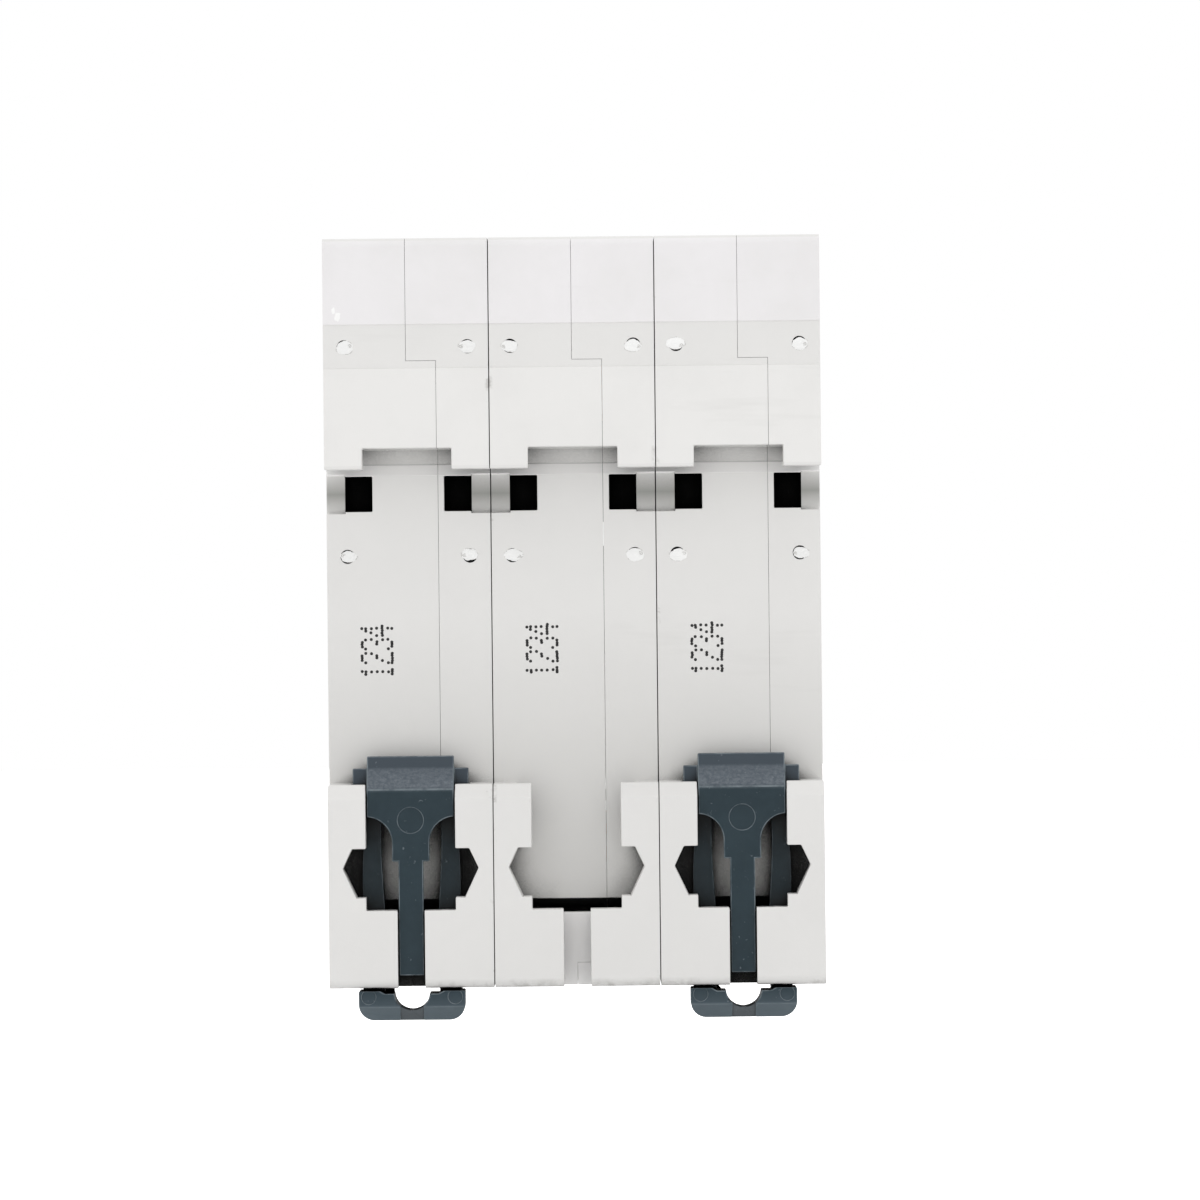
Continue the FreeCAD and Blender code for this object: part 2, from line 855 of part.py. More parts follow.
def toggle():
    hub = rod_x(axis_y, axis_z, hub_radius, -toggle_width / 2, toggle_width / 2)

    def rim(angle):
        turn = math.radians(angle)
        return Vec(-toggle_width / 2, axis_y - skirt_radius * math.cos(turn), axis_z + skirt_radius * math.sin(turn))

    centre = Vec(-toggle_width / 2, axis_y, axis_z)
    upper = rim(skirt_upper_angle)
    lower = rim(-skirt_lower_angle)
    arc = Part.Arc(upper, rim(0), lower).toShape()
    wire = Part.Wire([Part.makeLine(centre, upper), arc, Part.makeLine(lower, centre)])
    skirt = Part.Face(wire).extrude(Vec(toggle_width, 0, 0))
    stub = inside_half + stub_reach
    stubs = rod_x(axis_y, axis_z, stub_radius, -stub, stub)
    body = hub.fuse([skirt, stubs, toggle_lever()])
    body = turned_about_x(body, axis_y, axis_z, half_swing)
    hole = rod_x(link_eye_y, link_eye_z, link_wire + link_hole_play, -toggle_width, toggle_width)
    return body.cut(hole).removeSplitter()


def lever_section(distance, width, height):
    y = axis_y - distance
    corners = [Vec(side_x * width / 2, y, axis_z + side_z * height / 2)
               for side_x, side_z in ((-1, -1), (1, -1), (1, 1), (-1, 1))]
    return Part.makePolygon(corners + corners[:1])


def toggle_lever():
    root = lever_section(lever_start, toggle_width, lever_root)
    tip = lever_section(lever_reach, toggle_width - 2 * lever_tip_inset, lever_tip)
    return Part.makeLoft([root, tip], True, True)


def tie_bar():
    half = pole_places[-1] + toggle_width / 2 + tie_overhang
    rise = tie_thickness / 2
    near = axis_y - tie_reach
    far = axis_y - tie_start
    bar = rounded_block(-half, half, near, far, axis_z - rise, axis_z + rise, 0, tie_radius)
    pockets = []
    for x in pole_places:
        root = lever_section(lever_start, toggle_width + 2 * tie_play, lever_root + 2 * tie_play)
        width = toggle_width - 2 * lever_tip_inset + 2 * tie_play
        tip = lever_section(lever_reach + tie_play, width, lever_tip + 2 * tie_play)
        pocket = Part.makeLoft([root, tip], True, True)
        pocket.translate(Vec(x, 0, 0))
        pockets.append(pocket)
    pitch = (tie_reach - tie_start - 2 * tie_radius) / tie_rib_count
    for i in range(tie_rib_count):
        y = near + tie_radius + (i + 0.5) * pitch
        for side in (1, -1):
            low, high = sorted((axis_z + side * (rise - pitch / 4), axis_z + side * (rise + 1)))
            pockets.append(block(-half - 1, half + 1, y - pitch / 4, y + pitch / 4, low, high))
    return turned_about_x(bar.cut(pockets), axis_y, axis_z, half_swing)


# A bent wire: one end in the toggle, one end in the arm's slot
def toggle_link():
    arm_side = arm_width / 2 + link_inner_reach
    route = [
        Vec(-link_inner_reach, link_eye_y, link_eye_z),
        Vec(link_side, link_eye_y, link_eye_z),
        Vec(link_side, link_foot_y, link_foot_z),
        Vec(-arm_side, link_foot_y, link_foot_z),
    ]
    return bent_wire(route, link_wire, 2 * link_wire)


# Contacts

def contact_arm():
    half = arm_width / 2
    hub = (pivot_y, pivot_z)
    tip_low = tip_top - arm_tip_height
    closed_foot = turned_point(link_foot_y, link_foot_z, arm_swing)
    eye = (closed_foot[0] + arm_slot_shift, closed_foot[1])
    beam = strap(hub, arm_hub_radius, (tip_y, tip_low + arm_neck_radius), arm_neck_radius, -half, half)
    tip = block(-half, half, tip_y - arm_tip_length / 2, tip_y + arm_tip_length / 2, tip_low, tip_top)
    tail = strap(hub, arm_tail_radius, eye, arm_eye_radius, -half, half)
    slot_end = link_wire + arm_slot_play
    slot = [rod_x(eye[0] + offset, eye[1], slot_end, -half - 1, half + 1) for offset in (-arm_slot_half, arm_slot_half)]
    slot.append(block(-half - 1, half + 1, eye[0] - arm_slot_half, eye[0] + arm_slot_half,
                      eye[1] - slot_end, eye[1] + slot_end))
    bore = rod_x(pivot_y, pivot_z, arm_pin_radius + arm_pin_play, -half - 1, half + 1)
    arm = beam.fuse([tip, tail]).cut(slot + [bore]).removeSplitter()
    return turned_about_x(arm, pivot_y, pivot_z, -arm_swing)


def turned_point(y, z, degrees):
    turn = math.radians(degrees)
    dy = y - pivot_y
    dz = z - pivot_z
    return (
        pivot_y + dy * math.cos(turn) - dz * math.sin(turn),
        pivot_z + dy * math.sin(turn) + dz * math.cos(turn),
    )


def moving_contact():
    pad = rod_z(0, tip_y, contact_radius, tip_top, contact_closed)
    return turned_about_x(pad, pivot_y, pivot_z, -arm_swing)


def arm_spring():
    start = arm_width / 2 + spring_gap
    outer = arm_hub_radius - spring_play
    coil = winding_y(0, 0, arm_pin_radius + spring_wire / 2, outer, 0, spring_length, spring_turns)
    coil.rotate(Vec(0, 0, 0), Vec(0, 0, 1), 90)
    coil.translate(Vec(-start, pivot_y, pivot_z))
    return coil


# Runner that carries the fixed contact, steps down and leads the arc over the chute
def fixed_runner():
    low = runner_low
    high = low + runner_sheet
    front = tip_y - runner_front
    ramp = chute_front + runner_bend
    shelf = chute_top + 2 * chute_gap + chute_side
    flat = tip_y + runner_ramp
    outline = [
        (front, low),
        (flat, low),
        (ramp, shelf),
        (chute_rear, shelf),
        (chute_rear, shelf + runner_sheet),
        (ramp + runner_sheet / 2, shelf + runner_sheet),
        (flat + runner_sheet / 2, high),
        (front + runner_sheet, high),
        (front + runner_sheet, high + runner_rise),
        (front, high + runner_rise),
    ]
    return side_prism(outline, -runner_width / 2, runner_width / 2)


def fixed_contact():
    return rod_z(0, tip_y, contact_radius, fixed_face, runner_low)


def arc_chute():
    half = chute_width / 2
    pitch = (chute_top - chute_floor - chute_sheet) / (chute_plates - 1)
    notch = rear_notch()
    plates = []
    for i in range(chute_plates):
        z = chute_floor + i * pitch
        plate = block(-half, half, chute_front, chute_rear, z, z + chute_sheet)
        plates.append(plate.cut(notch))
    for x0, x1 in mirrored_spans(half, half + chute_side):
        plates.append(block(x0, x1, chute_front, chute_rear, chute_floor, chute_top))
    return plates[0].fuse(plates[1:]).removeSplitter()


def rear_notch():
    half = chute_notch_width / 2
    corners = [
        Vec(-half, chute_front - skin, chute_floor - 1),
        Vec(half, chute_front - skin, chute_floor - 1),
        Vec(0, chute_front + chute_notch_depth, chute_floor - 1),
    ]
    face = Part.Face(Part.makePolygon(corners + corners[:1]))
    return face.extrude(Vec(0, 0, chute_top - chute_floor + 2))


# Coil, yoke and plunger

def coil_winding():
    y0 = coil_front + bobbin_flange
    y1 = coil_rear - bobbin_flange
    winding = winding_y(0, coil_height, coil_core_radius, coil_radius, y0, y1, coil_turns)
    entry_y = y0 + 2 * lead_radius
    lower = rod_z(0, entry_y, lead_radius, runner_low + runner_sheet, coil_height - coil_radius + lead_radius)
    surface = math.sqrt(coil_radius ** 2 - lead_side ** 2)
    lead_top = chamber_floor - lead_radius - skin
    start = Vec(-lead_side, entry_y, coil_height + surface - 2 * lead_radius)
    section = Part.Wire([Part.makeCircle(lead_radius, start, Vec(0, 0, 1))])
    route = [start, Vec(-lead_side, entry_y, lead_top), Vec(-lead_side, bus_rear, lead_top)]
    return winding.fuse([lower, mitred_runs(route, section)]).removeSplitter()


def coil_bobbin():
    flange = bobbin_flange
    outline = [
        (bobbin_bore, coil_front),
        (bobbin_flange_radius, coil_front),
        (bobbin_flange_radius, coil_front + flange),
        (coil_core_radius, coil_front + flange),
        (coil_core_radius, coil_rear - flange),
        (bobbin_flange_radius, coil_rear - flange),
        (bobbin_flange_radius, coil_rear),
        (bobbin_bore, coil_rear),
    ]
    return turned_y(outline, 0, coil_height)


def coil_yoke():
    half = yoke_width / 2
    front = block(-half, half, yoke_front, coil_front, yoke_bottom, yoke_top)
    rear = block(-half, half, coil_rear, coil_rear + yoke_sheet, yoke_bottom, yoke_top)
    bridge = block(-half, half, coil_front, coil_rear, yoke_top - yoke_sheet, yoke_top)
    hole = rod_y(0, coil_height, plunger_nose_radius + plunger_nose_play, yoke_front - 1, coil_front + 1)
    return front.fuse([rear, bridge]).cut(hole).removeSplitter()


def plunger():
    body = rod_y(0, coil_height, plunger_radius, plunger_front, plunger_rear)
    nose = rod_y(0, coil_height, plunger_nose_radius, plunger_tip, plunger_front)
    return body.fuse(nose).removeSplitter()


def plunger_spring():
    inner = plunger_nose_radius + plunger_nose_play
    return winding_y(0, coil_height, inner, plunger_spring_radius, coil_front, plunger_front, plunger_spring_turns)


# One moulded bar across the poles with a paddle in each
def trip_bar():
    reach = span_half - side_wall / 2
    bar = rod_x(trip_y, trip_z, trip_bar_radius, -reach, reach)
    right = bimetal_side + bimetal_width
    hub = (trip_y, trip_z)
    knee = (knee_y, knee_z)
    toe = (toe_y, toe_z)
    paddle = strap(hub, trip_hub_radius, knee, trip_knee_radius, -trip_left, right)
    paddle = paddle.fuse(strap(knee, trip_knee_radius, toe, trip_toe_radius, -trip_left, right)).removeSplitter()
    paddles = []
    for x in pole_places:
        copy = paddle.copy()
        copy.translate(Vec(x, 0, 0))
        paddles.append(copy)
    return bar.fuse(paddles).removeSplitter()


def bimetal():
    return block(bimetal_side, bimetal_side + bimetal_width, bus_rear, bimetal_rear, bimetal_foot, bimetal_top)


def adjuster():
    x, z = adjuster_place()
    tip = bus_front - tip_gap
    head = tip - adjuster_length
    half = adjuster_slot / 2
    low = z - 2 * adjuster_radius
    high = z + 2 * adjuster_radius
    slot = block(x - half, x + half, head - 1, head + adjuster_slot_depth, low, high)
    return rod_y(x, z, adjuster_radius, head, tip).cut(slot)


# Flexible braid from the front of the bimetal to the underside of the arm's hub
def contact_braid():
    x = bimetal_side + bimetal_width / 2
    under = pivot_z - arm_hub_radius
    start = Vec(x, bus_rear, under)
    half = Vec(braid_width / 2, 0, 0)
    rise = Vec(0, 0, braid_sheet / 2)
    corners = [start + half + rise, start - half + rise, start - half - rise, start + half - rise]
    section = Part.makePolygon(corners + corners[:1])
    route = [
        start,
        Vec(x, bus_rear - braid_reach, under),
        Vec(x, bus_rear - braid_reach, under - braid_drop),
        Vec(0, pivot_y, under - braid_drop),
        Vec(0, pivot_y, under - braid_gap),
    ]
    return mitred_runs(route, section)


# Rivets run through all the poles, with a head on each side
def body_rivet(y, z):
    end = span_half - rivet_sink
    shank = rod_x(y, z, rivet_radius, -end, end)
    heads = [rod_x(y, z, rivet_head_radius, a, b) for a, b in mirrored_spans(end, end + rivet_head_height)]
    return shank.fuse(heads).removeSplitter()


def moved(shape, x):
    copy = shape.copy()
    copy.translate(Vec(x, 0, 0))
    return copy


def save(name, shapes):
    solids = [solid for shape in shapes for solid in shape.Solids]
    whole = solids[0] if len(solids) == 1 else Part.makeCompound(solids)
    whole.exportStep("parts/" + name + ".step")
    print(name, len(solids), "solids", round(whole.Volume, 1), "mm3", "valid" if whole.isValid() else "NOT VALID")


def build():
    os.makedirs("parts", exist_ok=True)
    case = whole_case()
    pole_nodes = {
        "case_base": case_half(case, -1),
        "case_cover": case_half(case, 1),
        "toggle": toggle(),
        "contact_arm": contact_arm(),
        "fixed_runner": fixed_runner(),
        "arc_chute": arc_chute(),
        "coil_winding": coil_winding(),
        "coil_bobbin": coil_bobbin(),
        "plunger": plunger(),
        "plunger_spring": plunger_spring(),
        "bimetal": bimetal(),
        "line_screw": terminal_screw(1),
        "load_screw": terminal_screw(-1),
        "line_cage": terminal_cage(1),
        "load_cage": terminal_cage(-1),
    }
    for name, shape in pole_nodes.items():
        for i, x in enumerate(pole_places):
            save(name + "_" + str(i + 1), [moved(shape, x)])
    shared_nodes = {
        "toggle_links": [toggle_link()],
        "moving_contacts": [moving_contact()],
        "fixed_contacts": [fixed_contact()],
        "coil_yokes": [coil_yoke()],
        "bus_plates": [
            bus_plate(1, chamber_floor - bimetal_overlap / 2),
            bus_plate(-1, bimetal_foot + bimetal_overlap),
        ],
        "adjusting_screws": [adjuster()],
        "contact_braids": [contact_braid()],
        "arm_pins": [rod_x(pivot_y, pivot_z, arm_pin_radius, -inside_half, inside_half)],
        "arm_springs": [arm_spring()],
        "heat_stakes": heat_stakes(),
    }
    for name, shapes in shared_nodes.items():
        save(name, [moved(shape, x) for x in pole_places for shape in shapes])
    save("tie_bar", [tie_bar()])
    save("trip_bar", [trip_bar()])
    save("body_rivets", [body_rivet(y, z) for y, z in rivet_places])
    for name, x in (("rail_clip_1", pole_places[0]), ("rail_clip_2", pole_places[-1])):
        save(name, [moved(rail_clip(), x)])


build()
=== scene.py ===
import json
import math
import random
import bmesh
import bpy
from mathutils import Matrix, Vector, noise


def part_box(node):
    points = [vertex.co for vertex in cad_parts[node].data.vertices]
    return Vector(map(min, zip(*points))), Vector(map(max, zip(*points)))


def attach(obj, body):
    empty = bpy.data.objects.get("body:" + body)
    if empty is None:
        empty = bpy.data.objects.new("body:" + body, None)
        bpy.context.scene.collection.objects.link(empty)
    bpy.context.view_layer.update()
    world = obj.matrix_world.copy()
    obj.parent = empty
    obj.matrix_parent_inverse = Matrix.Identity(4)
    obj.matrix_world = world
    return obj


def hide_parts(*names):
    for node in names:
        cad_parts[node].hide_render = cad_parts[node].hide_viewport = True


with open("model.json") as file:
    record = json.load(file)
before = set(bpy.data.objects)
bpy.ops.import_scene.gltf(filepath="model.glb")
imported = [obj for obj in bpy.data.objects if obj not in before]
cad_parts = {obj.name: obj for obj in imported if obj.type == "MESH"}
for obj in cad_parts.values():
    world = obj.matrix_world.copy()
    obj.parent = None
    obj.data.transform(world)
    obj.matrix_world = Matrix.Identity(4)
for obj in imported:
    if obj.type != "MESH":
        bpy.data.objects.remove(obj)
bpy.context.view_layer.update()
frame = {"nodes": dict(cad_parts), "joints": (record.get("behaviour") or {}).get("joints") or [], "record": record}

# A three-pole circuit breaker seen from the rear, in metres. X runs across the poles, the rear
# with the rail seat faces +Y, and +Z is up.

mm = 0.001
poles = ("1", "2", "3")
scene = bpy.context.scene
nodes = frame["nodes"]
joints = {joint["name"]: joint for joint in frame["joints"]}


# Small helpers for shader trees

def emptyMaterial(name):
    made = bpy.data.materials.new(name)
    made.use_nodes = True
    tree = made.node_tree
    tree.nodes.clear()
    output = tree.nodes.new("ShaderNodeOutputMaterial")
    shader = tree.nodes.new("ShaderNodeBsdfPrincipled")
    tree.links.new(shader.outputs["BSDF"], output.inputs["Surface"])
    return made, tree, shader


def feed(tree, socket, value):
    if hasattr(value, "is_linked"):
        tree.links.new(value, socket)
    else:
        socket.default_value = value


def combined(tree, operation, first, second):
    node = tree.nodes.new("ShaderNodeMath")
    node.operation = operation
    feed(tree, node.inputs[0], first)
    feed(tree, node.inputs[1], second)
    return node.outputs[0]


def multiplied(tree, *factors):
    result = factors[0]
    for factor in factors[1:]:
        result = combined(tree, "MULTIPLY", result, factor)
    return result


# How far a value lies from a centre, on either side
def away(tree, value, centre=0.0):
    node = tree.nodes.new("ShaderNodeMath")
    node.operation = "ABSOLUTE"
    tree.links.new(combined(tree, "SUBTRACT", value, centre), node.inputs[0])
    return node.outputs[0]


def blendColour(tree, factor, first, second):
    node = tree.nodes.new("ShaderNodeMix")
    node.data_type = "RGBA"
    feed(tree, node.inputs[0], factor)
    feed(tree, node.inputs[6], first)
    feed(tree, node.inputs[7], second)
    return node.outputs[2]


# Map one span of a value on another, held at both ends
def spread(tree, value, low, high, outLow=0.0, outHigh=1.0):
    node = tree.nodes.new("ShaderNodeMapRange")
    node.inputs["From Min"].default_value = low
    node.inputs["From Max"].default_value = high
    node.inputs["To Min"].default_value = outLow
    node.inputs["To Max"].default_value = outHigh
    tree.links.new(value, node.inputs["Value"])
    return node.outputs["Result"]


def above(tree, value, level, fade):
    return spread(tree, value, level - fade, level + fade)


def below(tree, value, level, fade):
    return spread(tree, value, level - fade, level + fade, 1, 0)


def between(tree, value, low, high, fade):
    return multiplied(tree, above(tree, value, low, fade), below(tree, value, high, fade))


def objectPlace(tree, scale=(1, 1, 1)):
    source = tree.nodes.new("ShaderNodeTexCoord")
    mapping = tree.nodes.new("ShaderNodeMapping")
    mapping.inputs["Scale"].default_value = scale
    tree.links.new(source.outputs["Object"], mapping.inputs["Vector"])
    return mapping.outputs["Vector"]


def placeParts(tree):
    split = tree.nodes.new("ShaderNodeSeparateXYZ")
    tree.links.new(objectPlace(tree), split.inputs["Vector"])
    return split.outputs["X"], split.outputs["Y"], split.outputs["Z"]


def noiseField(tree, look):
    field = tree.nodes.new("ShaderNodeTexNoise")
    field.inputs["Scale"].default_value = look["scale"]
    field.inputs["Detail"].default_value = look["detail"]
    field.inputs["Roughness"].default_value = look["rough"]
    tree.links.new(objectPlace(tree, look.get("stretch", (1, 1, 1))), field.inputs["Vector"])
    return field.outputs["Fac"]


# A layer of noise: the part of it inside its span becomes its share
def noiseLayer(tree, look, share=(0, 1)):
    return spread(tree, noiseField(tree, look), *look["span"], *look.get("share", share))


def grain(tree, shader, look):
    bump = tree.nodes.new("ShaderNodeBump")
    bump.inputs["Strength"].default_value = look["strength"]
    bump.inputs["Distance"].default_value = look["depth"]
    tree.links.new(noiseField(tree, look), bump.inputs["Height"])
    tree.links.new(bump.outputs["Normal"], shader.inputs["Normal"])


# A colour given as it shows on a screen, 0 to 255
def screenColour(red, green, blue):
    linear = []
    for value in (red, green, blue):
        share = value / 255
        linear.append(share / 12.92 if share <= 0.04045 else ((share + 0.055) / 1.055) ** 2.4)
    return (*linear, 1)


# Deep narrow recesses of the moulding stay dark, as light hardly reaches them
recessFacts = {"reach": 7 * mm, "samples": 8, "shut": 0.262, "open": 0.485}


def recessShade(tree, tint, dark, lifted=None):
    facts = recessFacts
    shelter = tree.nodes.new("ShaderNodeAmbientOcclusion")
    shelter.inputs["Distance"].default_value = facts["reach"]
    shelter.samples = facts["samples"]
    share = spread(tree, shelter.outputs["AO"], facts["shut"], facts["open"])
    if lifted is not None:
        share = combined(tree, "MAXIMUM", share, lifted)
    return blendColour(tree, share, dark, tint)


# Materials

# Pale plastic whose upper lip, ribbed band and lower part differ a little in painted light, with scuffs, specks
# and painted shade.
# Heights are along Z and depths along Y.
housingFacts = {
    "fade": 0.05 * mm,
    "rear": 5.7 * mm,
    "seat": 16 * mm,
    "bandLow": 26.4 * mm,
    "bandHigh": 31.1 * mm,
    "notch": (15.7 * mm, 17.9 * mm),
    "notchDepth": (1.4 * mm, 1.8 * mm),
    "notchLeast": 0.3,
    "step": (11.1 * mm, 15.1 * mm),
    "stepMiddle": 13.1 * mm,
    "stepHalf": 2.2 * mm,
    "stepDepth": (-1.0 * mm, -0.3 * mm),
    "stepLeast": 0.1,
    "ramp": (15.05 * mm, 16.2 * mm),
    "rampDepth": (-0.9 * mm, 0.1 * mm),
    "slit": (-32.55 * mm, -30.5 * mm),
    "slitFade": 0.01 * mm,
    "slitDepth": (-9 * mm, -0.4 * mm),
    "slitHalf": 6.3 * mm,
    "slotHalf": 1.7 * mm,
    "slotTop": -31.97 * mm,
    "slotFoot": -39.6 * mm,
    "slotDepth": (-6 * mm, 5.4 * mm),
    "floorLow": -14 * mm,
    "floorDepth": (-0.1 * mm, 0.1 * mm),
    "floorShare": 0.5,
    "foot": -38.7 * mm,
    "footReach": 1.2 * mm,
    "footShare": 0.8,
    "gapNear": 0.05 * mm,
    "gapReach": 0.5 * mm,
    "nicks": ((24.9, 31.9, 0.34, 0.62), (25.35, 32.6, 0.2, 0.4)),  # x, z, half width and half height in mm
    "nickEdge": (0.75, 1.0),
    "nickShare": 0.9,
    "clouds": {"scale": 60, "detail": 5, "rough": 0.6, "span": (0.4, 0.75), "share": (0, 0.6)},
    "streaks": {"scale": 160, "detail": 4, "rough": 0.7, "stretch": (0.12, 1, 1), "span": (0.62, 0.78),
                "share": (0, 0.35)},
    "smudges": {"scale": 420, "detail": 5, "rough": 0.7, "span": (0.52, 0.66)},
    "grime": {"scale": 260, "detail": 5, "rough": 0.75, "span": (0.6, 0.68), "share": (0, 0.8)},
    "ragged": {"scale": 1500, "detail": 3, "rough": 0.6, "span": (0.3, 0.7), "share": (-0.55, 0.55)},
    "wear": {"scale": 300, "detail": 3, "rough": 0.5, "span": (0.3, 0.7), "share": (0.42, 0.56)},
    "grain": {"scale": 2600, "detail": 3, "rough": 0.6, "strength": 0.3, "depth": 0.02 * mm},
    "specks": {"scale": 210, "size": (0.035, 0.06), "rare": (0.9, 0.92), "share": 0.5},
    "specular": 0.3,
    "upper": screenColour(240, 238, 239),
    "band": screenColour(232, 231, 229),
    "middle": screenColour(237, 236, 234),
    "lower": screenColour(231, 230, 228),
    "shade": screenColour(226, 225, 223),
    "pale": screenColour(252, 251, 250),
    "chip": screenColour(254, 254, 253),
    "scuffAndShade": screenColour(208, 207, 204),
    "notchShade": screenColour(191, 192, 186),
    "stepShade": screenColour(160, 160, 156),
    "dirt": screenColour(178, 176, 172),
    "speck": screenColour(150, 149, 146),
    "dark": screenColour(3, 3, 3),
}


# The tones of the rear face, from the foot up: painted light, paler towards the upper lip as if lit more from
# above
def zoneTones(tree, height, onRear):
    facts = housingFacts
    tint = facts["lower"]
    for level, tone in (("seat", "middle"), ("bandLow", "band"), ("bandHigh", "upper")):
        over = above(tree, height, facts[level], facts["fade"])
        tint = blendColour(tree, multiplied(tree, over, onRear), tint, facts[tone])
    return tint


# Painted shade in the notch in the upper lip, darker towards its foot, and on the curved step beside the windows,
# darkest at mid-height
def hollowTones(tree, tint, depth, height):
    facts = housingFacts
    inNotch = multiplied(tree, between(tree, depth, *facts["notchDepth"], facts["fade"]),
                         spread(tree, height, *facts["notch"], 1, facts["notchLeast"]),
                         between(tree, height, *facts["notch"], facts["fade"]))
    tint = blendColour(tree, inNotch, tint, facts["notchShade"])
    middle, half, least = facts["stepMiddle"], facts["stepHalf"], facts["stepLeast"]
    inStep = multiplied(tree, between(tree, depth, *facts["stepDepth"], facts["fade"]),
                        between(tree, height, *facts["step"], facts["fade"]),
                        spread(tree, height, middle - half, middle, least, 1),
                        spread(tree, height, middle, middle + half, 1, least))
    return blendColour(tree, inStep, tint, facts["stepShade"])


def speckMask(tree):
    look = housingFacts["specks"]
    cells = tree.nodes.new("ShaderNodeTexVoronoi")
    cells.inputs["Scale"].default_value = look["scale"]
    tree.links.new(objectPlace(tree), cells.inputs["Vector"])
    near = spread(tree, cells.outputs["Distance"], *look["size"], 1, 0)
    drawn = tree.nodes.new("ShaderNodeSeparateColor")
    tree.links.new(cells.outputs["Color"], drawn.inputs["Color"])
    return multiplied(tree, near, spread(tree, drawn.outputs["Red"], *look["rare"], 0, look["share"]))


# Smudges at the foot, scattered specks, grime along the gaps between poles, and painted shade darkening the low
# floor towards the bottom
def dirtTones(tree, tint, outward, depth, height):
    facts = housingFacts
    lowest = spread(tree, height, facts["foot"], facts["foot"] - facts["footReach"], 0, facts["footShare"])
    smudged = multiplied(tree, lowest, noiseLayer(tree, facts["smudges"]))
    tint = blendColour(tree, smudged, tint, facts["dirt"])
    tint = blendColour(tree, speckMask(tree), tint, facts["speck"])
    gapEdge = (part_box("case_base_3")[0].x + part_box("case_cover_2")[1].x) / 2
    beside = spread(tree, away(tree, outward, gapEdge), facts["gapNear"], facts["gapReach"], 1, 0)
    tint = blendColour(tree, multiplied(tree, beside, noiseLayer(tree, facts["grime"])), tint, facts["dirt"])
    # Painted shade: the low floor of the seat darkens towards the bottom
    lowFloor = spread(tree, height, 0, facts["floorLow"], 0, facts["floorShare"])
    onFloor = between(tree, depth, *facts["floorDepth"], facts["fade"])
    return blendColour(tree, multiplied(tree, lowFloor, onFloor), tint, facts["scuffAndShade"])


# A small ragged oval where the moulding was nicked
def nickMask(tree, x, z, wide, tall):
    facts = housingFacts
    source = tree.nodes.new("ShaderNodeTexCoord")
    centred = tree.nodes.new("ShaderNodeMapping")
    centred.inputs["Location"].default_value = (-x / wide, 0, -z / tall)
    centred.inputs["Scale"].default_value = (1 / (wide * mm), 0, 1 / (tall * mm))
    tree.links.new(source.outputs["Object"], centred.inputs["Vector"])
    length = tree.nodes.new("ShaderNodeVectorMath")
    length.operation = "LENGTH"
    tree.links.new(centred.outputs["Vector"], length.inputs[0])
    uneven = combined(tree, "ADD", length.outputs["Value"], noiseLayer(tree, facts["ragged"]))
    return spread(tree, uneven, *facts["nickEdge"], facts["nickShare"], 0)


# The slit under the floor of the seat painted black as painted shadow, and the ramp and slots painted pale as
# painted light, which the recess shade leaves out
def guideTones(tree, tint, outward, depth, height):
    facts = housingFacts
    fade = facts["fade"]
    low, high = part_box("rail_clip_2")
    fromPole = combined(tree, "MINIMUM", outward, away(tree, outward, abs(low.x + high.x) / 2))
    # Painted shadow: the slit is painted black
    inSlit = multiplied(tree, between(tree, height, *facts["slit"], facts["slitFade"]),
                        between(tree, depth, *facts["slitDepth"], fade),
                        spread(tree, fromPole, facts["slitHalf"], facts["slitHalf"] + fade, 1, 0))
    tint = blendColour(tree, inSlit, tint, facts["dark"])
    # Painted light: the ramp under the upper lip and the slot floors are painted paler
    onRamp = multiplied(tree, between(tree, height, *facts["ramp"], fade),
                        between(tree, depth, *facts["rampDepth"], fade))
    tint = blendColour(tree, onRamp, tint, facts["pale"])
    inSlot = multiplied(tree, spread(tree, outward, facts["slotHalf"], facts["slotHalf"] + fade, 1, 0),
                        spread(tree, height, facts["slotTop"], facts["slotTop"] + fade, 1, 0))
    slotFloor = multiplied(tree, inSlot, between(tree, depth, *facts["slotDepth"], fade),
                           spread(tree, height, facts["slotFoot"] - fade, facts["slotFoot"]))
    tint = blendColour(tree, slotFloor, tint, facts["pale"])
    return tint, combined(tree, "MAXIMUM", onRamp, inSlot)


def housingMaterial():
    facts = housingFacts
    made, tree, shader = emptyMaterial("housing")
    across, depth, height = placeParts(tree)
    outward = away(tree, across)
    onRear = above(tree, depth, facts["rear"], facts["fade"])
    tint = zoneTones(tree, height, onRear)
    tint = blendColour(tree, noiseLayer(tree, facts["clouds"]), tint, facts["shade"])
    tint = blendColour(tree, noiseLayer(tree, facts["streaks"]), tint, facts["scuffAndShade"])
    tint = hollowTones(tree, tint, depth, height)
    tint = dirtTones(tree, tint, outward, depth, height)
    for nick in facts["nicks"]:
        tint = blendColour(tree, multiplied(tree, nickMask(tree, *nick), onRear), tint, facts["chip"])
    tint, lifted = guideTones(tree, tint, outward, depth, height)
    tree.links.new(recessShade(tree, tint, facts["dark"], lifted), shader.inputs["Base Color"])
    tree.links.new(noiseLayer(tree, facts["wear"]), shader.inputs["Roughness"])
    shader.inputs["Specular IOR Level"].default_value = facts["specular"]
    grain(tree, shader, facts["grain"])
    return made
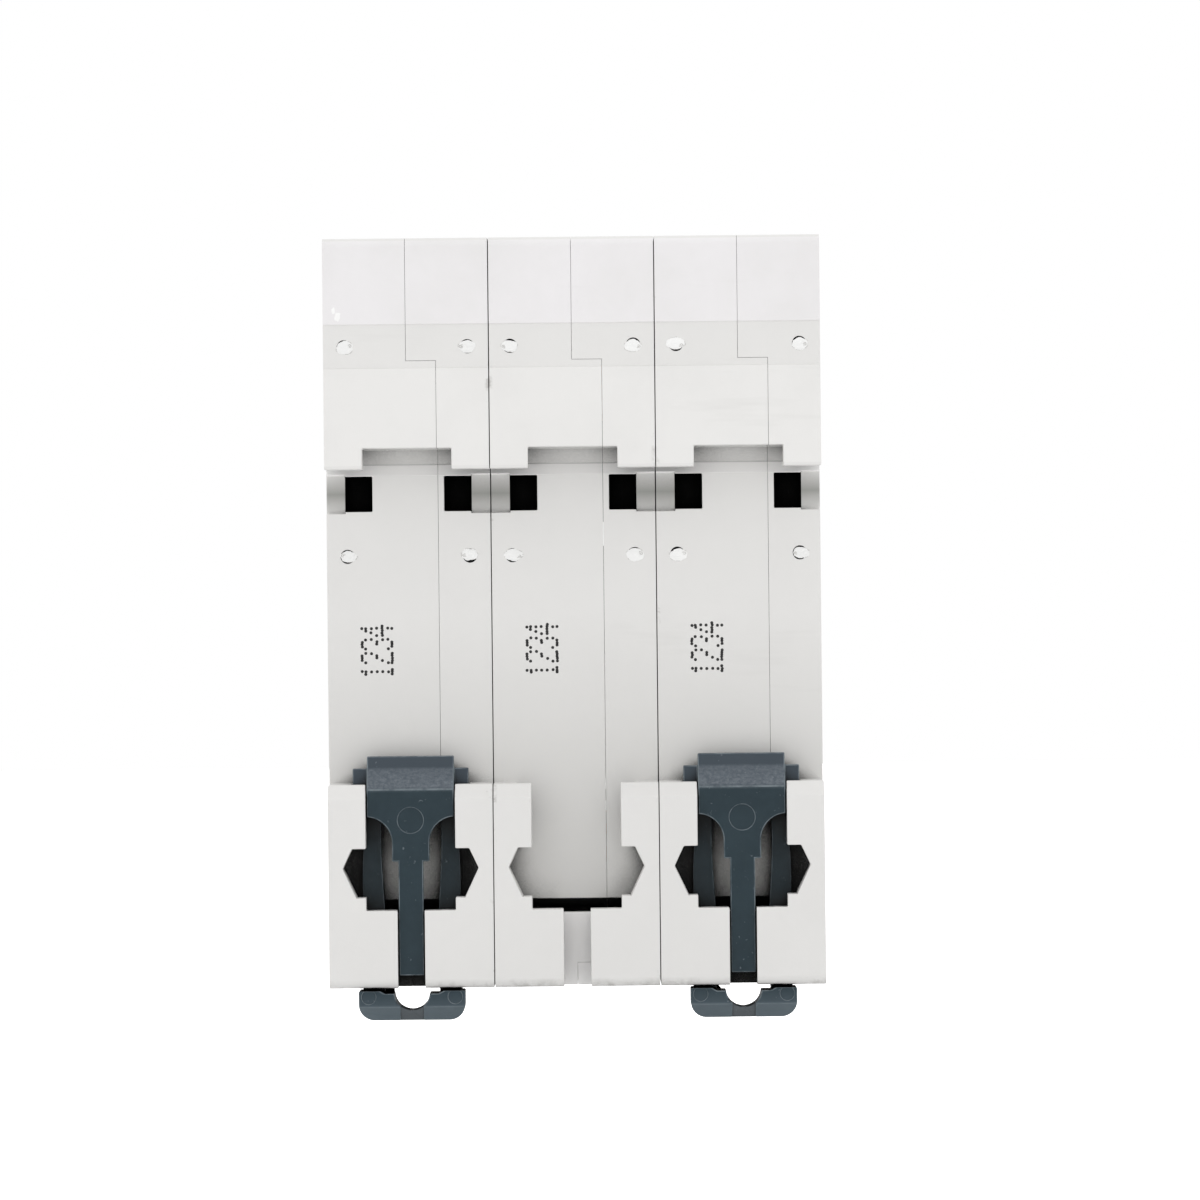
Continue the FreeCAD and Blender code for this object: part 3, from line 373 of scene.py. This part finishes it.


# Slate plastic: a paler nose, painted highlights on its sparkling slope and at the grip's foot, and paler edges,
# partly wear and partly painted highlight
clipFacts = {
    "fade": 0.12 * mm,
    "nose": -18.4 * mm,
    "slope": (-18.5 * mm, -16.1 * mm),
    "slopeFade": 0.35 * mm,
    "slopeRear": 2.9 * mm,
    "slopeShare": (0.5, 0.3),
    "gripTop": -40.0 * mm,
    "gripFoot": -41.6 * mm,
    "stripHalf": 1.25 * mm,
    "stripFade": 0.04 * mm,
    "clouds": {"scale": 300, "detail": 5, "rough": 0.7, "span": (0.35, 0.65)},
    "sparkle": {"scale": 2600, "detail": 4, "rough": 0.7, "span": (0.38, 0.7), "share": (0.4, 1.15)},
    "dustAndGlints": {"scale": 2400, "detail": 2, "rough": 0.5, "span": (0.7, 0.76), "share": (0, 0.38)},
    "rubbedAndLit": {"scale": 700, "detail": 4, "rough": 0.7, "span": (0.35, 0.6), "share": (0.25, 1)},
    "wear": {"scale": 500, "detail": 3, "rough": 0.5, "span": (0.3, 0.7), "share": (0.38, 0.5)},
    "grain": {"scale": 2200, "detail": 3, "rough": 0.6, "strength": 0.4, "depth": 0.03 * mm},
    "specular": 0.3,
    "plain": screenColour(38, 55, 63),
    "shade": screenColour(32, 49, 57),
    "noseTint": screenColour(60, 70, 79),
    "gripTint": screenColour(64, 77, 85),
    "footHighlight": screenColour(92, 104, 111),
    "stripTint": screenColour(88, 94, 98),
    "glint": screenColour(138, 146, 154),
    "wornAndLit": screenColour(112, 122, 128),
    "dark": screenColour(4, 6, 7),
}


def clipMaterial(name, isEdge):
    facts = clipFacts
    fade = facts["fade"]
    made, tree, shader = emptyMaterial(name)
    across, depth, height = placeParts(tree)
    tint = blendColour(tree, noiseLayer(tree, facts["clouds"]), facts["plain"], facts["shade"])
    tint = blendColour(tree, above(tree, height, facts["nose"], fade), tint, facts["noseTint"])
    onGrip = spread(tree, height, facts["gripFoot"] + fade, facts["gripTop"] + fade, 1, 0)
    tint = blendColour(tree, onGrip, tint, facts["gripTint"])
    # Painted highlight: the chamfer at the foot of the grip is painted lighter, as if lit from below
    tint = blendColour(tree, below(tree, height, facts["gripFoot"], fade), tint, facts["footHighlight"])
    low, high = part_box("rail_clip_2")
    inward = away(tree, away(tree, across), abs(low.x + high.x) / 2)
    onStrip = below(tree, inward, facts["stripHalf"], facts["stripFade"])
    tint = blendColour(tree, multiplied(tree, onGrip, onStrip), tint, facts["stripTint"])
    # Painted highlight: the slope under the nose, which faces up, sparkles as if lit from above
    onSlope = multiplied(tree, between(tree, height, *facts["slope"], facts["slopeFade"]),
                         spread(tree, depth, facts["slopeRear"] - fade, facts["slopeRear"]),
                         spread(tree, height, *facts["slope"], *facts["slopeShare"]),
                         noiseLayer(tree, facts["sparkle"]))
    tint = blendColour(tree, onSlope, tint, facts["glint"])
    # Pale specks over the clip: partly dust, partly painted glints
    tint = blendColour(tree, noiseLayer(tree, facts["dustAndGlints"]), tint, facts["glint"])
    # Rounded edges painted paler: partly wear, partly painted highlight
    if isEdge:
        tint = blendColour(tree, noiseLayer(tree, facts["rubbedAndLit"]), tint, facts["wornAndLit"])
    tree.links.new(recessShade(tree, tint, facts["dark"]), shader.inputs["Base Color"])
    tree.links.new(noiseLayer(tree, facts["wear"]), shader.inputs["Roughness"])
    shader.inputs["Specular IOR Level"].default_value = facts["specular"]
    grain(tree, shader, facts["grain"])
    return made


# Other plastics and the metals: two tones in clouds, a roughness that wanders and a fine grain
plasticFacts = {
    "metallic": 0,
    "clouds": {"scale": 90, "detail": 5, "rough": 0.6, "span": (0.35, 0.65)},
    "wear": {"scale": 240, "detail": 3, "rough": 0.5, "span": (0.3, 0.7)},
    "wander": 0.05,
    "grain": {"detail": 3, "rough": 0.6, "strength": 0.35},
}

metalFacts = {
    "metallic": 1,
    "clouds": {"scale": 350, "detail": 5, "rough": 0.6, "span": (0.35, 0.65)},
    "wear": {"scale": 900, "detail": 3, "rough": 0.5, "span": (0.3, 0.7)},
    "wander": 0.08,
    "grain": {"scale": 2500, "detail": 3, "rough": 0.6, "strength": 0.3, "depth": 0.02 * mm},
}

plastics = {
    "toggle": {"name": "toggle", "colour": screenColour(40, 43, 46), "shade": screenColour(34, 37, 40),
               "roughness": 0.4, "specular": 0.4, "grain": {"scale": 3200, "depth": 0.02 * mm}},
    # The toggle's rounded edges are painted paler: partly wear, partly painted highlight
    "toggleEdge": {"name": "toggleEdge", "colour": screenColour(66, 69, 72),
                   "shade": screenColour(48, 51, 54), "roughness": 0.35, "specular": 0.4,
                   "grain": {"scale": 3200, "depth": 0.02 * mm}},
    "stake": {"name": "stake", "colour": screenColour(250, 250, 249), "shade": screenColour(240, 240, 239),
              "roughness": 0.3, "specular": 0.4, "grain": {"scale": 1500, "depth": 0.03 * mm}},
    "stakeShade": {"name": "stakeShade", "colour": screenColour(214, 213, 210),
                   "shade": screenColour(192, 191, 188), "roughness": 0.5, "specular": 0.4,
                   "grain": {"scale": 1500, "depth": 0.03 * mm}},
    "shadow": {"name": "shadow", "colour": (0.0012, 0.0012, 0.0012, 1), "shade": (0.002, 0.002, 0.002, 1),
               "roughness": 0.8, "specular": 0.05, "grain": {"scale": 1500, "depth": 0.02 * mm}},
    "inner_plastic": {"name": "innerPlastic", "colour": (0.02, 0.02, 0.02, 1), "shade": (0.03, 0.03, 0.03, 1),
                      "roughness": 0.45, "specular": 0.4, "grain": {"scale": 2400, "depth": 0.02 * mm}},
}

metals = {
    "rivet": {"name": "rivet", "colour": (0.62, 0.62, 0.6, 1), "shade": (0.52, 0.52, 0.5, 1),
              "roughness": 0.4},
    "plated_steel": {"name": "platedSteel", "colour": (0.66, 0.65, 0.62, 1), "shade": (0.56, 0.55, 0.52, 1),
                     "roughness": 0.34},
    "copper": {"name": "copper", "colour": (0.84, 0.46, 0.3, 1), "shade": (0.7, 0.36, 0.22, 1),
               "roughness": 0.34},
    "silver": {"name": "silver", "colour": (0.86, 0.85, 0.82, 1), "shade": (0.74, 0.72, 0.68, 1),
               "roughness": 0.3},
    "brass": {"name": "brass", "colour": (0.78, 0.62, 0.3, 1), "shade": (0.66, 0.5, 0.22, 1),
              "roughness": 0.36},
}


def simpleMaterial(facts, look):
    made, tree, shader = emptyMaterial(look["name"])
    tint = blendColour(tree, noiseLayer(tree, facts["clouds"]), look["colour"], look["shade"])
    tree.links.new(tint, shader.inputs["Base Color"])
    smoothest, roughest = look["roughness"] - facts["wander"], look["roughness"] + facts["wander"]
    tree.links.new(noiseLayer(tree, facts["wear"], (smoothest, roughest)), shader.inputs["Roughness"])
    shader.inputs["Metallic"].default_value = facts["metallic"]
    if "specular" in look:
        shader.inputs["Specular IOR Level"].default_value = look["specular"]
    grain(tree, shader, {**facts["grain"], **look.get("grain", {})})
    return made


def makeMaterials():
    made = {
        "housing": housingMaterial(),
        "clip": clipMaterial("clip", False),
        "clipEdge": clipMaterial("clipEdge", True),
    }
    for facts, looks in ((plasticFacts, plastics), (metalFacts, metals)):
        for slot, look in looks.items():
            made[slot] = simpleMaterial(facts, look)
    return made


# Pieces

# Moulded parts are merged copies of their solids. Outer edges get a soft round, edges along a
# gap between poles a faint one, and a seam stays sharp, so that it shows as a thin line.
moulding = {
    "merge": 0.001 * mm,
    "flat": math.radians(0.4),
    "sharp": math.radians(28),
    "edge": 0.12 * mm,
    "metalEdge": 0.05 * mm,
    "segments": 2,
    "gapShare": 0.3,
    "least": 0.05,
    "share": 0.4,
    "touch": 0.004 * mm,
    "reach": 0.06 * mm,
    "slant": 0.02 * mm,
    "slantLength": 0.5 * mm,
    "jog": 3.2 * mm,
    "jogTop": 13.1 * mm,
    "jogBottom": 2.4 * mm,
    "channelBottom": -31.4 * mm,
}


def finishPiece(mesh, name, body, slot, materials, stand=()):
    data = bpy.data.meshes.new(name)
    mesh.to_mesh(data)
    mesh.free()
    for face in data.polygons:
        face.use_smooth = True
    data.materials.append(materials[slot])
    piece = bpy.data.objects.new(name, data)
    scene.collection.objects.link(piece)
    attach(piece, body)
    if stand:
        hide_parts(*stand)
    return piece


def roundEdges(piece, width, method="WEIGHT"):
    bevel = piece.modifiers.new("edges", "BEVEL")
    bevel.width = width
    bevel.segments = moulding["segments"]
    bevel.limit_method = method
    bevel.angle_limit = moulding["sharp"]
    bevel.use_clamp_overlap = False
    bevel.loop_slide = False
    smooth = piece.modifiers.new("shading", "WEIGHTED_NORMAL")
    smooth.keep_sharp = True


# Inner and metal parts keep their solids, with a small bevel. The others are made again below.
def dressNodes(materials):
    slots = {part["node"]: part["material_slot"] for part in frame["record"]["subparts"]}
    for name, node in nodes.items():
        node.data.materials.clear()
        node.data.materials.append(materials[slots[name]])
        for face in node.data.polygons:
            face.use_smooth = True
        if slots[name] in ("housing", "clip", "toggle", "stake") or name == "body_rivets":
            continue
        weld = node.modifiers.new("join", "WELD")
        weld.merge_threshold = moulding["merge"]
        flatten = node.modifiers.new("flatten", "DECIMATE")
        flatten.decimate_type = "DISSOLVE"
        flatten.angle_limit = moulding["flat"]
        roundEdges(node, moulding["metalEdge"], "ANGLE")


def mergedCopy(name):
    mesh = bmesh.new()
    mesh.from_mesh(nodes[name].data)
    bmesh.ops.remove_doubles(mesh, verts=mesh.verts, dist=moulding["merge"])
    bmesh.ops.dissolve_limit(mesh, angle_limit=moulding["flat"], verts=mesh.verts, edges=mesh.edges)
    return mesh


# Where a pole's gaps, the level parts of its seam and the seam itself lie
def seamPlanes(pole):
    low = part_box("case_base_" + pole)[0]
    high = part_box("case_cover_" + pole)[1]
    middle = (low.x + high.x) / 2
    gaps = []
    if pole != poles[0]:
        gaps.append(low.x)
    if pole != poles[-1]:
        gaps.append(high.x)
    levels = [high.z - moulding["jogTop"], low.z + moulding["jogBottom"], moulding["channelBottom"]]
    return gaps, levels, middle


# The room beside an edge, up to the nearest corner of its two faces
def roomBeside(edge):
    start, end = (vert.co for vert in edge.verts)
    along = end - start
    room = min(other.calc_length() for vert in edge.verts for other in vert.link_edges if other is not edge)
    for face in edge.link_faces:
        for vert in face.verts:
            if vert in edge.verts:
                continue
            share = (vert.co - start).dot(along) / along.length_squared
            gap = (vert.co - start - along * share).length
            if 0 < share < 1 and gap > moulding["touch"]:
                room = min(room, gap)
    return room


# Short slanting edges where the foot of a clip curves, too tight for a round
def isTightSlant(edge):
    along = edge.verts[1].co - edge.verts[0].co
    return min(abs(along.y), abs(along.z)) > moulding["slant"] and along.length < moulding["slantLength"]


def weighEdges(mesh, planes, slot):
    layer = mesh.edges.layers.float.new("bevel_weight_edge")
    gaps, levels, middle = planes or ((), (), 0)
    seams = (middle, middle - moulding["jog"]) if planes else ()
    reach = moulding["reach"]
    for edge in mesh.edges:
        if len(edge.link_faces) != 2 or edge.calc_face_angle() < moulding["sharp"]:
            continue
        if slot == "clip" and isTightSlant(edge):
            continue
        ends = [vert.co for vert in edge.verts]
        onSeam = any(all(abs(end.x - place) < reach for end in ends) for place in seams)
        if all(middle - moulding["jog"] - reach < end.x < middle + reach for end in ends):
            onSeam = onSeam or any(all(abs(end.z - place) < reach for end in ends) for place in levels)
        if onSeam:
            edge.smooth = False
            continue
        onGap = any(all(abs(end.x - place) < reach for end in ends) for place in gaps)
        weight = moulding["gapShare"] if onGap else 1
        weight = min(weight, moulding["share"] * roomBeside(edge) / moulding["edge"])
        edge[layer] = max(moulding["least"], weight)


def mouldPart(name, pieceName, body, slot, materials, planes=None):
    mesh = mergedCopy(name)
    weighEdges(mesh, planes, slot)
    piece = finishPiece(mesh, pieceName, body, slot, materials, (name,))
    roundEdges(piece, moulding["edge"])
    # The rounds get the paler edge look: partly wear, partly painted highlight
    if slot + "Edge" in materials:
        piece.data.materials.append(materials[slot + "Edge"])
        piece.modifiers["edges"].material = 1


def mouldCase(materials):
    for pole in poles:
        planes = seamPlanes(pole)
        mouldPart("case_base_" + pole, "mouldedBase_" + pole, "case", "housing", materials, planes)
        mouldPart("case_cover_" + pole, "mouldedCover_" + pole, "case", "housing", materials, planes)
        mouldPart("toggle_" + pole, "mouldedToggle_" + pole, "handle", "toggle", materials)
    mouldPart("tie_bar", "mouldedTieBar", "handle", "toggle", materials)
    for number in ("1", "2"):
        clip = "rail_clip_" + number
        mouldPart(clip, "mouldedClip_" + number, clip + "_body", "clip", materials)


# Stakes melted over into white blobs, each with a small pit in painted grey shade and a rough rim at one side.
# Shapes are worked out on a ball of radius 1 before it is flattened to size.
stakeFacts = {
    "seed": 7,
    "seedReach": 50,
    "ballSteps": 5,
    "inset": 2.23 * mm,
    "upperHeight": 28.7 * mm,
    "upperFloor": 5.88 * mm,
    "seatHeight": 6.4 * mm,
    "wanderX": 0.15,
    "wanderZ": 0.12,
    "halfAcross": 1.0 * mm,
    "halfHigh": 0.69 * mm,
    "sizes": (0.86, 1.06),
    "crown": 0.12 * mm,
    "domed": 1.6,
    "turn": 0.6,
    "turnedRound": 0.6,
    "swell": 0.2,
    "swellScale": 1.7,
    "fineSwell": 0.06,
    "fineScale": 6,
    "rippleMiddle": 0.75,
    "ripple": 0.45,
    "rippleScale": 3,
    "pitPlace": 0.62,
    "pitHalf": 0.27,
    "pitDip": 0.75,
    "pitWave": 0.25,
    "hollow": 0.4,
    "crescent": (0.62, 1.05),
    "crescentBack": 0.08,
    "rimPlace": 0.8,
    "rimHalf": 0.12,
    "rimDip": 0.35,
    "greyRim": 0.93,
    "greyScale": 2.2,
    "greyOver": 0.12,
}


def meltStakes(materials):
    facts = stakeFacts
    wanderX, wanderZ = facts["wanderX"], facts["wanderZ"]
    chance = random.Random(facts["seed"])
    mesh = bmesh.new()
    for pole in poles:
        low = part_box("case_base_" + pole)[0]
        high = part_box("case_cover_" + pole)[1]
        for x in (low.x + facts["inset"], high.x - facts["inset"]):
            for y, z in ((facts["upperFloor"], facts["upperHeight"]), (0, facts["seatHeight"])):
                shift = Vector((chance.uniform(-wanderX, wanderX), 0, chance.uniform(-wanderZ, wanderZ))) * mm
                meltStake(mesh, Vector((x, y, z)) + shift, chance)
    piece = finishPiece(mesh, "meltedStakes", "case", "stake", materials, ("heat_stakes",))
    piece.data.materials.append(materials["stakeShade"])


def meltStake(mesh, centre, chance):
    facts = stakeFacts
    made = bmesh.ops.create_icosphere(mesh, subdivisions=facts["ballSteps"], radius=1)["verts"]
    seed = Vector((chance.uniform(0, facts["seedReach"]), chance.uniform(0, facts["seedReach"]), 0))
    turn = chance.uniform(-facts["turn"], facts["turn"])
    turn += math.pi if chance.random() < facts["turnedRound"] else 0
    pit = Vector((math.cos(turn), 0, math.sin(turn))) * facts["pitPlace"]
    wide = facts["halfAcross"] * chance.uniform(*facts["sizes"])
    tall = facts["halfHigh"] * chance.uniform(*facts["sizes"])
    crescentNear, crescentFar = facts["crescent"]
    for face in {face for vert in made for face in vert.link_faces}:
        spot = face.calc_center_median()
        flat = Vector((spot.x, 0, spot.z))
        toPit = (flat - pit).length / facts["pitHalf"]
        toPit += facts["pitWave"] * noise.noise(flat * facts["fineScale"] + seed)
        outside = flat.length > facts["pitPlace"] - facts["crescentBack"]
        inCrescent = crescentNear < toPit < crescentFar and outside
        greyPatch = noise.noise(flat * facts["greyScale"] + seed) > facts["greyOver"]
        onRim = flat.length > facts["greyRim"] and greyPatch
        isGrey = inCrescent or toPit < facts["hollow"] or onRim
        # The pit, a crescent beside it and patches of the rim get the grey look: painted shade
        face.material_index = 1 if spot.y > 0 and isGrey else 0
    for vert in made:
        flat = Vector((vert.co.x, 0, vert.co.z))
        swell = 1 + facts["swell"] * noise.noise(flat * facts["swellScale"] + seed)
        swell += facts["fineSwell"] * noise.noise(flat * facts["fineScale"] + seed)
        ripple = facts["rippleMiddle"] + facts["ripple"] * noise.noise(flat * facts["rippleScale"] + seed)
        toPit = (flat - pit).length / facts["pitHalf"]
        dip = facts["pitDip"] * max(0, 1 - toPit ** 2)
        dip += facts["rimDip"] * max(0, 1 - abs(flat.length - facts["rimPlace"]) / facts["rimHalf"])
        dome = min(1, max(-1, vert.co.y * facts["domed"]))
        rise = dome * facts["crown"] * min(1, ripple) * (1 - dip)
        vert.co = centre + Vector((vert.co.x * wide * swell, rise, vert.co.z * tall * swell))


# Long rivets turned with a rolled rim round a dimple at each end. The profile gives the place
# along X and the radius in mm, from the dimple's middle to the middle of the shank.
rivetFacts = {
    "places": ((-8.0, 30.7), (-8.0, -30.7), (-47.5, 17.0), (-47.5, -17.0)),
    "profile": ((26.08, 0), (26.06, 0.7), (26.14, 0.95), (26.34, 1.15), (26.4, 1.4), (26.39, 1.7),
                (26.33, 2.05), (26.22, 2.3), (26.08, 2.44), (25.9, 2.49), (25.9, 1.1), (0, 1.1)),
    "steps": 48,
}


def turnRivets(materials):
    facts = rivetFacts
    mesh = bmesh.new()
    profile = list(facts["profile"])
    profile += [(-x, radius) for x, radius in reversed(profile[:-1])]
    for y, z in facts["places"]:
        centre = Vector((0, y, z)) * mm
        line = [mesh.verts.new(centre + Vector((x, 0, radius)) * mm) for x, radius in profile]
        edges = [mesh.edges.new(pair) for pair in zip(line, line[1:])]
        bmesh.ops.spin(mesh, geom=line + edges, cent=centre, axis=(1, 0, 0), angle=2 * math.pi,
                       steps=facts["steps"], use_merge=True)
    bmesh.ops.remove_doubles(mesh, verts=mesh.verts, dist=moulding["merge"])
    bmesh.ops.recalc_face_normals(mesh, faces=mesh.faces)
    piece = finishPiece(mesh, "turnedRivets", "case", "rivet", materials, ("body_rivets",))
    roundEdges(piece, moulding["metalEdge"], "ANGLE")


# Black sheets close the windows from inside: painted shadow, so the windows show dark
shadowSheetFacts = {
    "near": 2.75 * mm,
    "far": 7.8 * mm,
    "low": 9.9 * mm,
    "high": 16.1 * mm,
    "depth": 2.2 * mm,
    "sheet": 0.1 * mm,
}


def hangShadowSheets(materials):
    facts = shadowSheetFacts
    size = Vector((facts["far"] - facts["near"], facts["sheet"], facts["high"] - facts["low"]))
    height = (facts["low"] + facts["high"]) / 2
    mesh = bmesh.new()
    for pole in poles:
        low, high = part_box("toggle_" + pole)
        middle = (low.x + high.x) / 2
        for side in (1, -1):
            x = middle + side * (facts["near"] + facts["far"]) / 2
            plate = bmesh.ops.create_cube(mesh, size=1)["verts"]
            bmesh.ops.scale(mesh, vec=size, verts=plate)
            bmesh.ops.translate(mesh, vec=(x, -facts["depth"] - facts["sheet"] / 2, height), verts=plate)
    piece = finishPiece(mesh, "windowShadowSheets", "case", "inner_plastic", materials)
    # The sheets stand in for shade inside the windows: painted shadow
    piece.data.materials[0] = materials["shadow"]  # darker than the slot's own look, so nothing shows inside


# Digits printed in dots, five across and seven high, on the floor of the rail seat
numberFacts = {
    "seed": 20,
    "shift": 3.5 * mm,
    "low": -6.45 * mm,
    "dot": 0.165 * mm,
    "dotSides": 14,
    "ink": 0.01 * mm,
    "rows": (1.6, 1.22, 0.62, 0.04, -0.56, -1.17, -1.6),
    "columnPitch": 0.25 * mm,
    "characterPitch": 1.464 * mm,
    "wander": 0.035 * mm,
}

digitRows = {
    "1": ("00100", "01100", "00100", "00100", "00100", "00100", "01110"),
    "2": ("01110", "10001", "00001", "00110", "01000", "10000", "11111"),
    "3": ("01110", "10001", "00001", "00110", "00001", "10001", "01110"),
    "4": ("00010", "00110", "01010", "10010", "11111", "00010", "00010"),
}


def printNumber(pole, materials):
    facts = numberFacts
    chance = random.Random(int(pole) + facts["seed"])
    low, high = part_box("toggle_" + pole)
    middle = (low.x + high.x) / 2 + facts["shift"]
    mesh = bmesh.new()
    for place, digit in enumerate("1234"):
        for row, bits in enumerate(digitRows[digit]):
            for column, bit in enumerate(bits):
                if bit == "0":
                    continue
                x = middle + facts["rows"][row] * mm + chance.uniform(-1, 1) * facts["wander"]
                z = facts["low"] + place * facts["characterPitch"] + column * facts["columnPitch"]
                z += chance.uniform(-1, 1) * facts["wander"]
                spot = Matrix.Translation((x, 0, z)) @ Matrix.Rotation(math.radians(90), 4, "X")
                bmesh.ops.create_cone(mesh, cap_ends=True, segments=facts["dotSides"], radius1=facts["dot"],
                                      radius2=facts["dot"], depth=2 * facts["ink"], matrix=spot)
    finishPiece(mesh, "printedNumber_" + pole, "case", "inner_plastic", materials)


# Raised marks on each lever: a ring on the face seen when off, a bar on the other
markFacts = {
    "reach": 14.3 * mm,
    "rootHalf": 2.6 * mm,
    "rootReach": 3.0 * mm,
    "slope": 0.9 / 18.6,
    "ring": 0.95 * mm,
    "ringSteps": 40,
    "line": 0.32 * mm,
    "rise": 0.06 * mm,
    "barLong": 2.3 * mm,
}


def markToggle(pole, materials):
    facts = markFacts
    joint = joints["toggle_swing"]
    axis = Vector(joint["pos_m"])
    low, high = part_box("toggle_" + pole)
    axis.x = (low.x + high.x) / 2
    rest = math.radians(joint["range_deg"][1] / 2)
    half = facts["rootHalf"] - (facts["reach"] - facts["rootReach"]) * facts["slope"]
    outer = facts["ring"] + facts["line"] / 2
    inner = facts["ring"] - facts["line"] / 2
    rise = facts["rise"]
    mesh = bmesh.new()
    corners = ((inner, -rise), (outer, -rise), (outer, rise), (inner, rise))
    profile = [mesh.verts.new((radius, 0, z)) for radius, z in corners]
    edges = [mesh.edges.new((profile[i], profile[i - 1])) for i in range(4)]
    bmesh.ops.spin(mesh, geom=profile + edges, cent=(0, 0, 0), axis=(0, 0, 1), angle=2 * math.pi,
                   steps=facts["ringSteps"], use_merge=True)
    ring = list(mesh.verts)
    bar = bmesh.ops.create_cube(mesh, size=1)["verts"]
    bmesh.ops.scale(mesh, vec=(facts["line"], facts["barLong"], 2 * rise), verts=bar)
    turn = Matrix.Translation(axis) @ Matrix.Rotation(rest, 4, "X")
    for verts, side in ((ring, 1), (bar, -1)):
        place = Matrix.Translation((0, -facts["reach"], side * half))
        place = place @ Matrix.Rotation(side * math.atan(facts["slope"]), 4, "X")
        bmesh.ops.transform(mesh, matrix=turn @ place, verts=verts)
    bmesh.ops.recalc_face_normals(mesh, faces=mesh.faces)
    finishPiece(mesh, "leverMarks_" + pole, "handle", "stake", materials)


# Camera, light and floor

viewFacts = {
    "lipPlane": 6 * mm,
    "distance": 850 * mm,
    "across": 127.9 * mm,
    "x": -2.77 * mm,
    "z": 1.5 * mm,
    "roll": math.radians(0.58),
    "sensor": 36,
    "nearest": 0.01,
    "farthest": 20,
}

lightFacts = {"height": (0.7, 1.12), "side": (0.95, 1.05)}

floorFacts = {
    "height": -47.5 * mm,
    "half": 1.5,
    "tones": ((0.92, 0.92, 0.92, 1), (0.94, 0.94, 0.94, 1)),
    "patches": {"scale": 6, "detail": 3, "rough": 0.5, "span": (0.3, 0.7)},
    "roughness": 0.9,
    "glow": 0.9,
}


def placeCamera():
    facts = viewFacts
    data = bpy.data.cameras.new("camera")
    data.sensor_width = facts["sensor"]
    data.lens = facts["sensor"] * facts["distance"] / facts["across"]
    data.clip_start = facts["nearest"]
    data.clip_end = facts["farthest"]
    camera = bpy.data.objects.new("camera", data)
    scene.collection.objects.link(camera)
    aim = Vector((0, -1, 0)).to_track_quat("-Z", "Y").to_matrix().to_4x4()
    place = Matrix.Translation((facts["x"], facts["lipPlane"] + facts["distance"], facts["z"]))
    camera.matrix_world = place @ aim @ Matrix.Rotation(-facts["roll"], 4, "Z")
    scene.camera = camera


# A soft white studio all round, a little stronger from above, that the camera sees as white
def lightWorld():
    world = bpy.data.worlds.new("studio")
    scene.world = world
    world.use_nodes = True
    tree = world.node_tree
    tree.nodes.clear()
    source = tree.nodes.new("ShaderNodeTexCoord")
    split = tree.nodes.new("ShaderNodeSeparateXYZ")
    tree.links.new(source.outputs["Generated"], split.inputs["Vector"])
    strength = multiplied(tree, spread(tree, split.outputs["Z"], -1, 1, *lightFacts["height"]),
                          spread(tree, split.outputs["X"], -1, 1, *lightFacts["side"]))
    shown = tree.nodes.new("ShaderNodeBackground")
    lit = tree.nodes.new("ShaderNodeBackground")
    for background in (shown, lit):
        background.inputs["Color"].default_value = (1, 1, 1, 1)
    tree.links.new(strength, lit.inputs["Strength"])
    path = tree.nodes.new("ShaderNodeLightPath")
    mix = tree.nodes.new("ShaderNodeMixShader")
    output = tree.nodes.new("ShaderNodeOutputWorld")
    tree.links.new(path.outputs["Is Camera Ray"], mix.inputs["Fac"])
    tree.links.new(lit.outputs["Background"], mix.inputs[1])
    tree.links.new(shown.outputs["Background"], mix.inputs[2])
    tree.links.new(mix.outputs["Shader"], output.inputs["Surface"])


def layFloor():
    facts = floorFacts
    mesh = bmesh.new()
    bmesh.ops.create_grid(mesh, x_segments=1, y_segments=1, size=facts["half"],
                          matrix=Matrix.Translation((0, 0, facts["height"])))
    data = bpy.data.meshes.new("floor")
    mesh.to_mesh(data)
    mesh.free()
    made, tree, shader = emptyMaterial("paleFloor")
    tint = blendColour(tree, noiseLayer(tree, facts["patches"]), *facts["tones"])
    tree.links.new(tint, shader.inputs["Base Color"])
    shader.inputs["Roughness"].default_value = facts["roughness"]
    shader.inputs["Emission Color"].default_value = (1, 1, 1, 1)
    path = tree.nodes.new("ShaderNodeLightPath")
    seen = spread(tree, path.outputs["Is Camera Ray"], 0, 1, 0, facts["glow"])
    tree.links.new(seen, shader.inputs["Emission Strength"])
    data.materials.append(made)
    floor = bpy.data.objects.new("floor", data)
    scene.collection.objects.link(floor)


scene.view_settings.view_transform = "Standard"
materials = makeMaterials()
print("materials mixed")
dressNodes(materials)
print("inner parts dressed")
mouldCase(materials)
print("moulded parts rounded")
meltStakes(materials)
turnRivets(materials)
hangShadowSheets(materials)
for pole in poles:
    printNumber(pole, materials)
    markToggle(pole, materials)
print("stakes, rivets, baffles, numbers and marks made")
placeCamera()
lightWorld()
layFloor()
print("camera, light and floor placed")
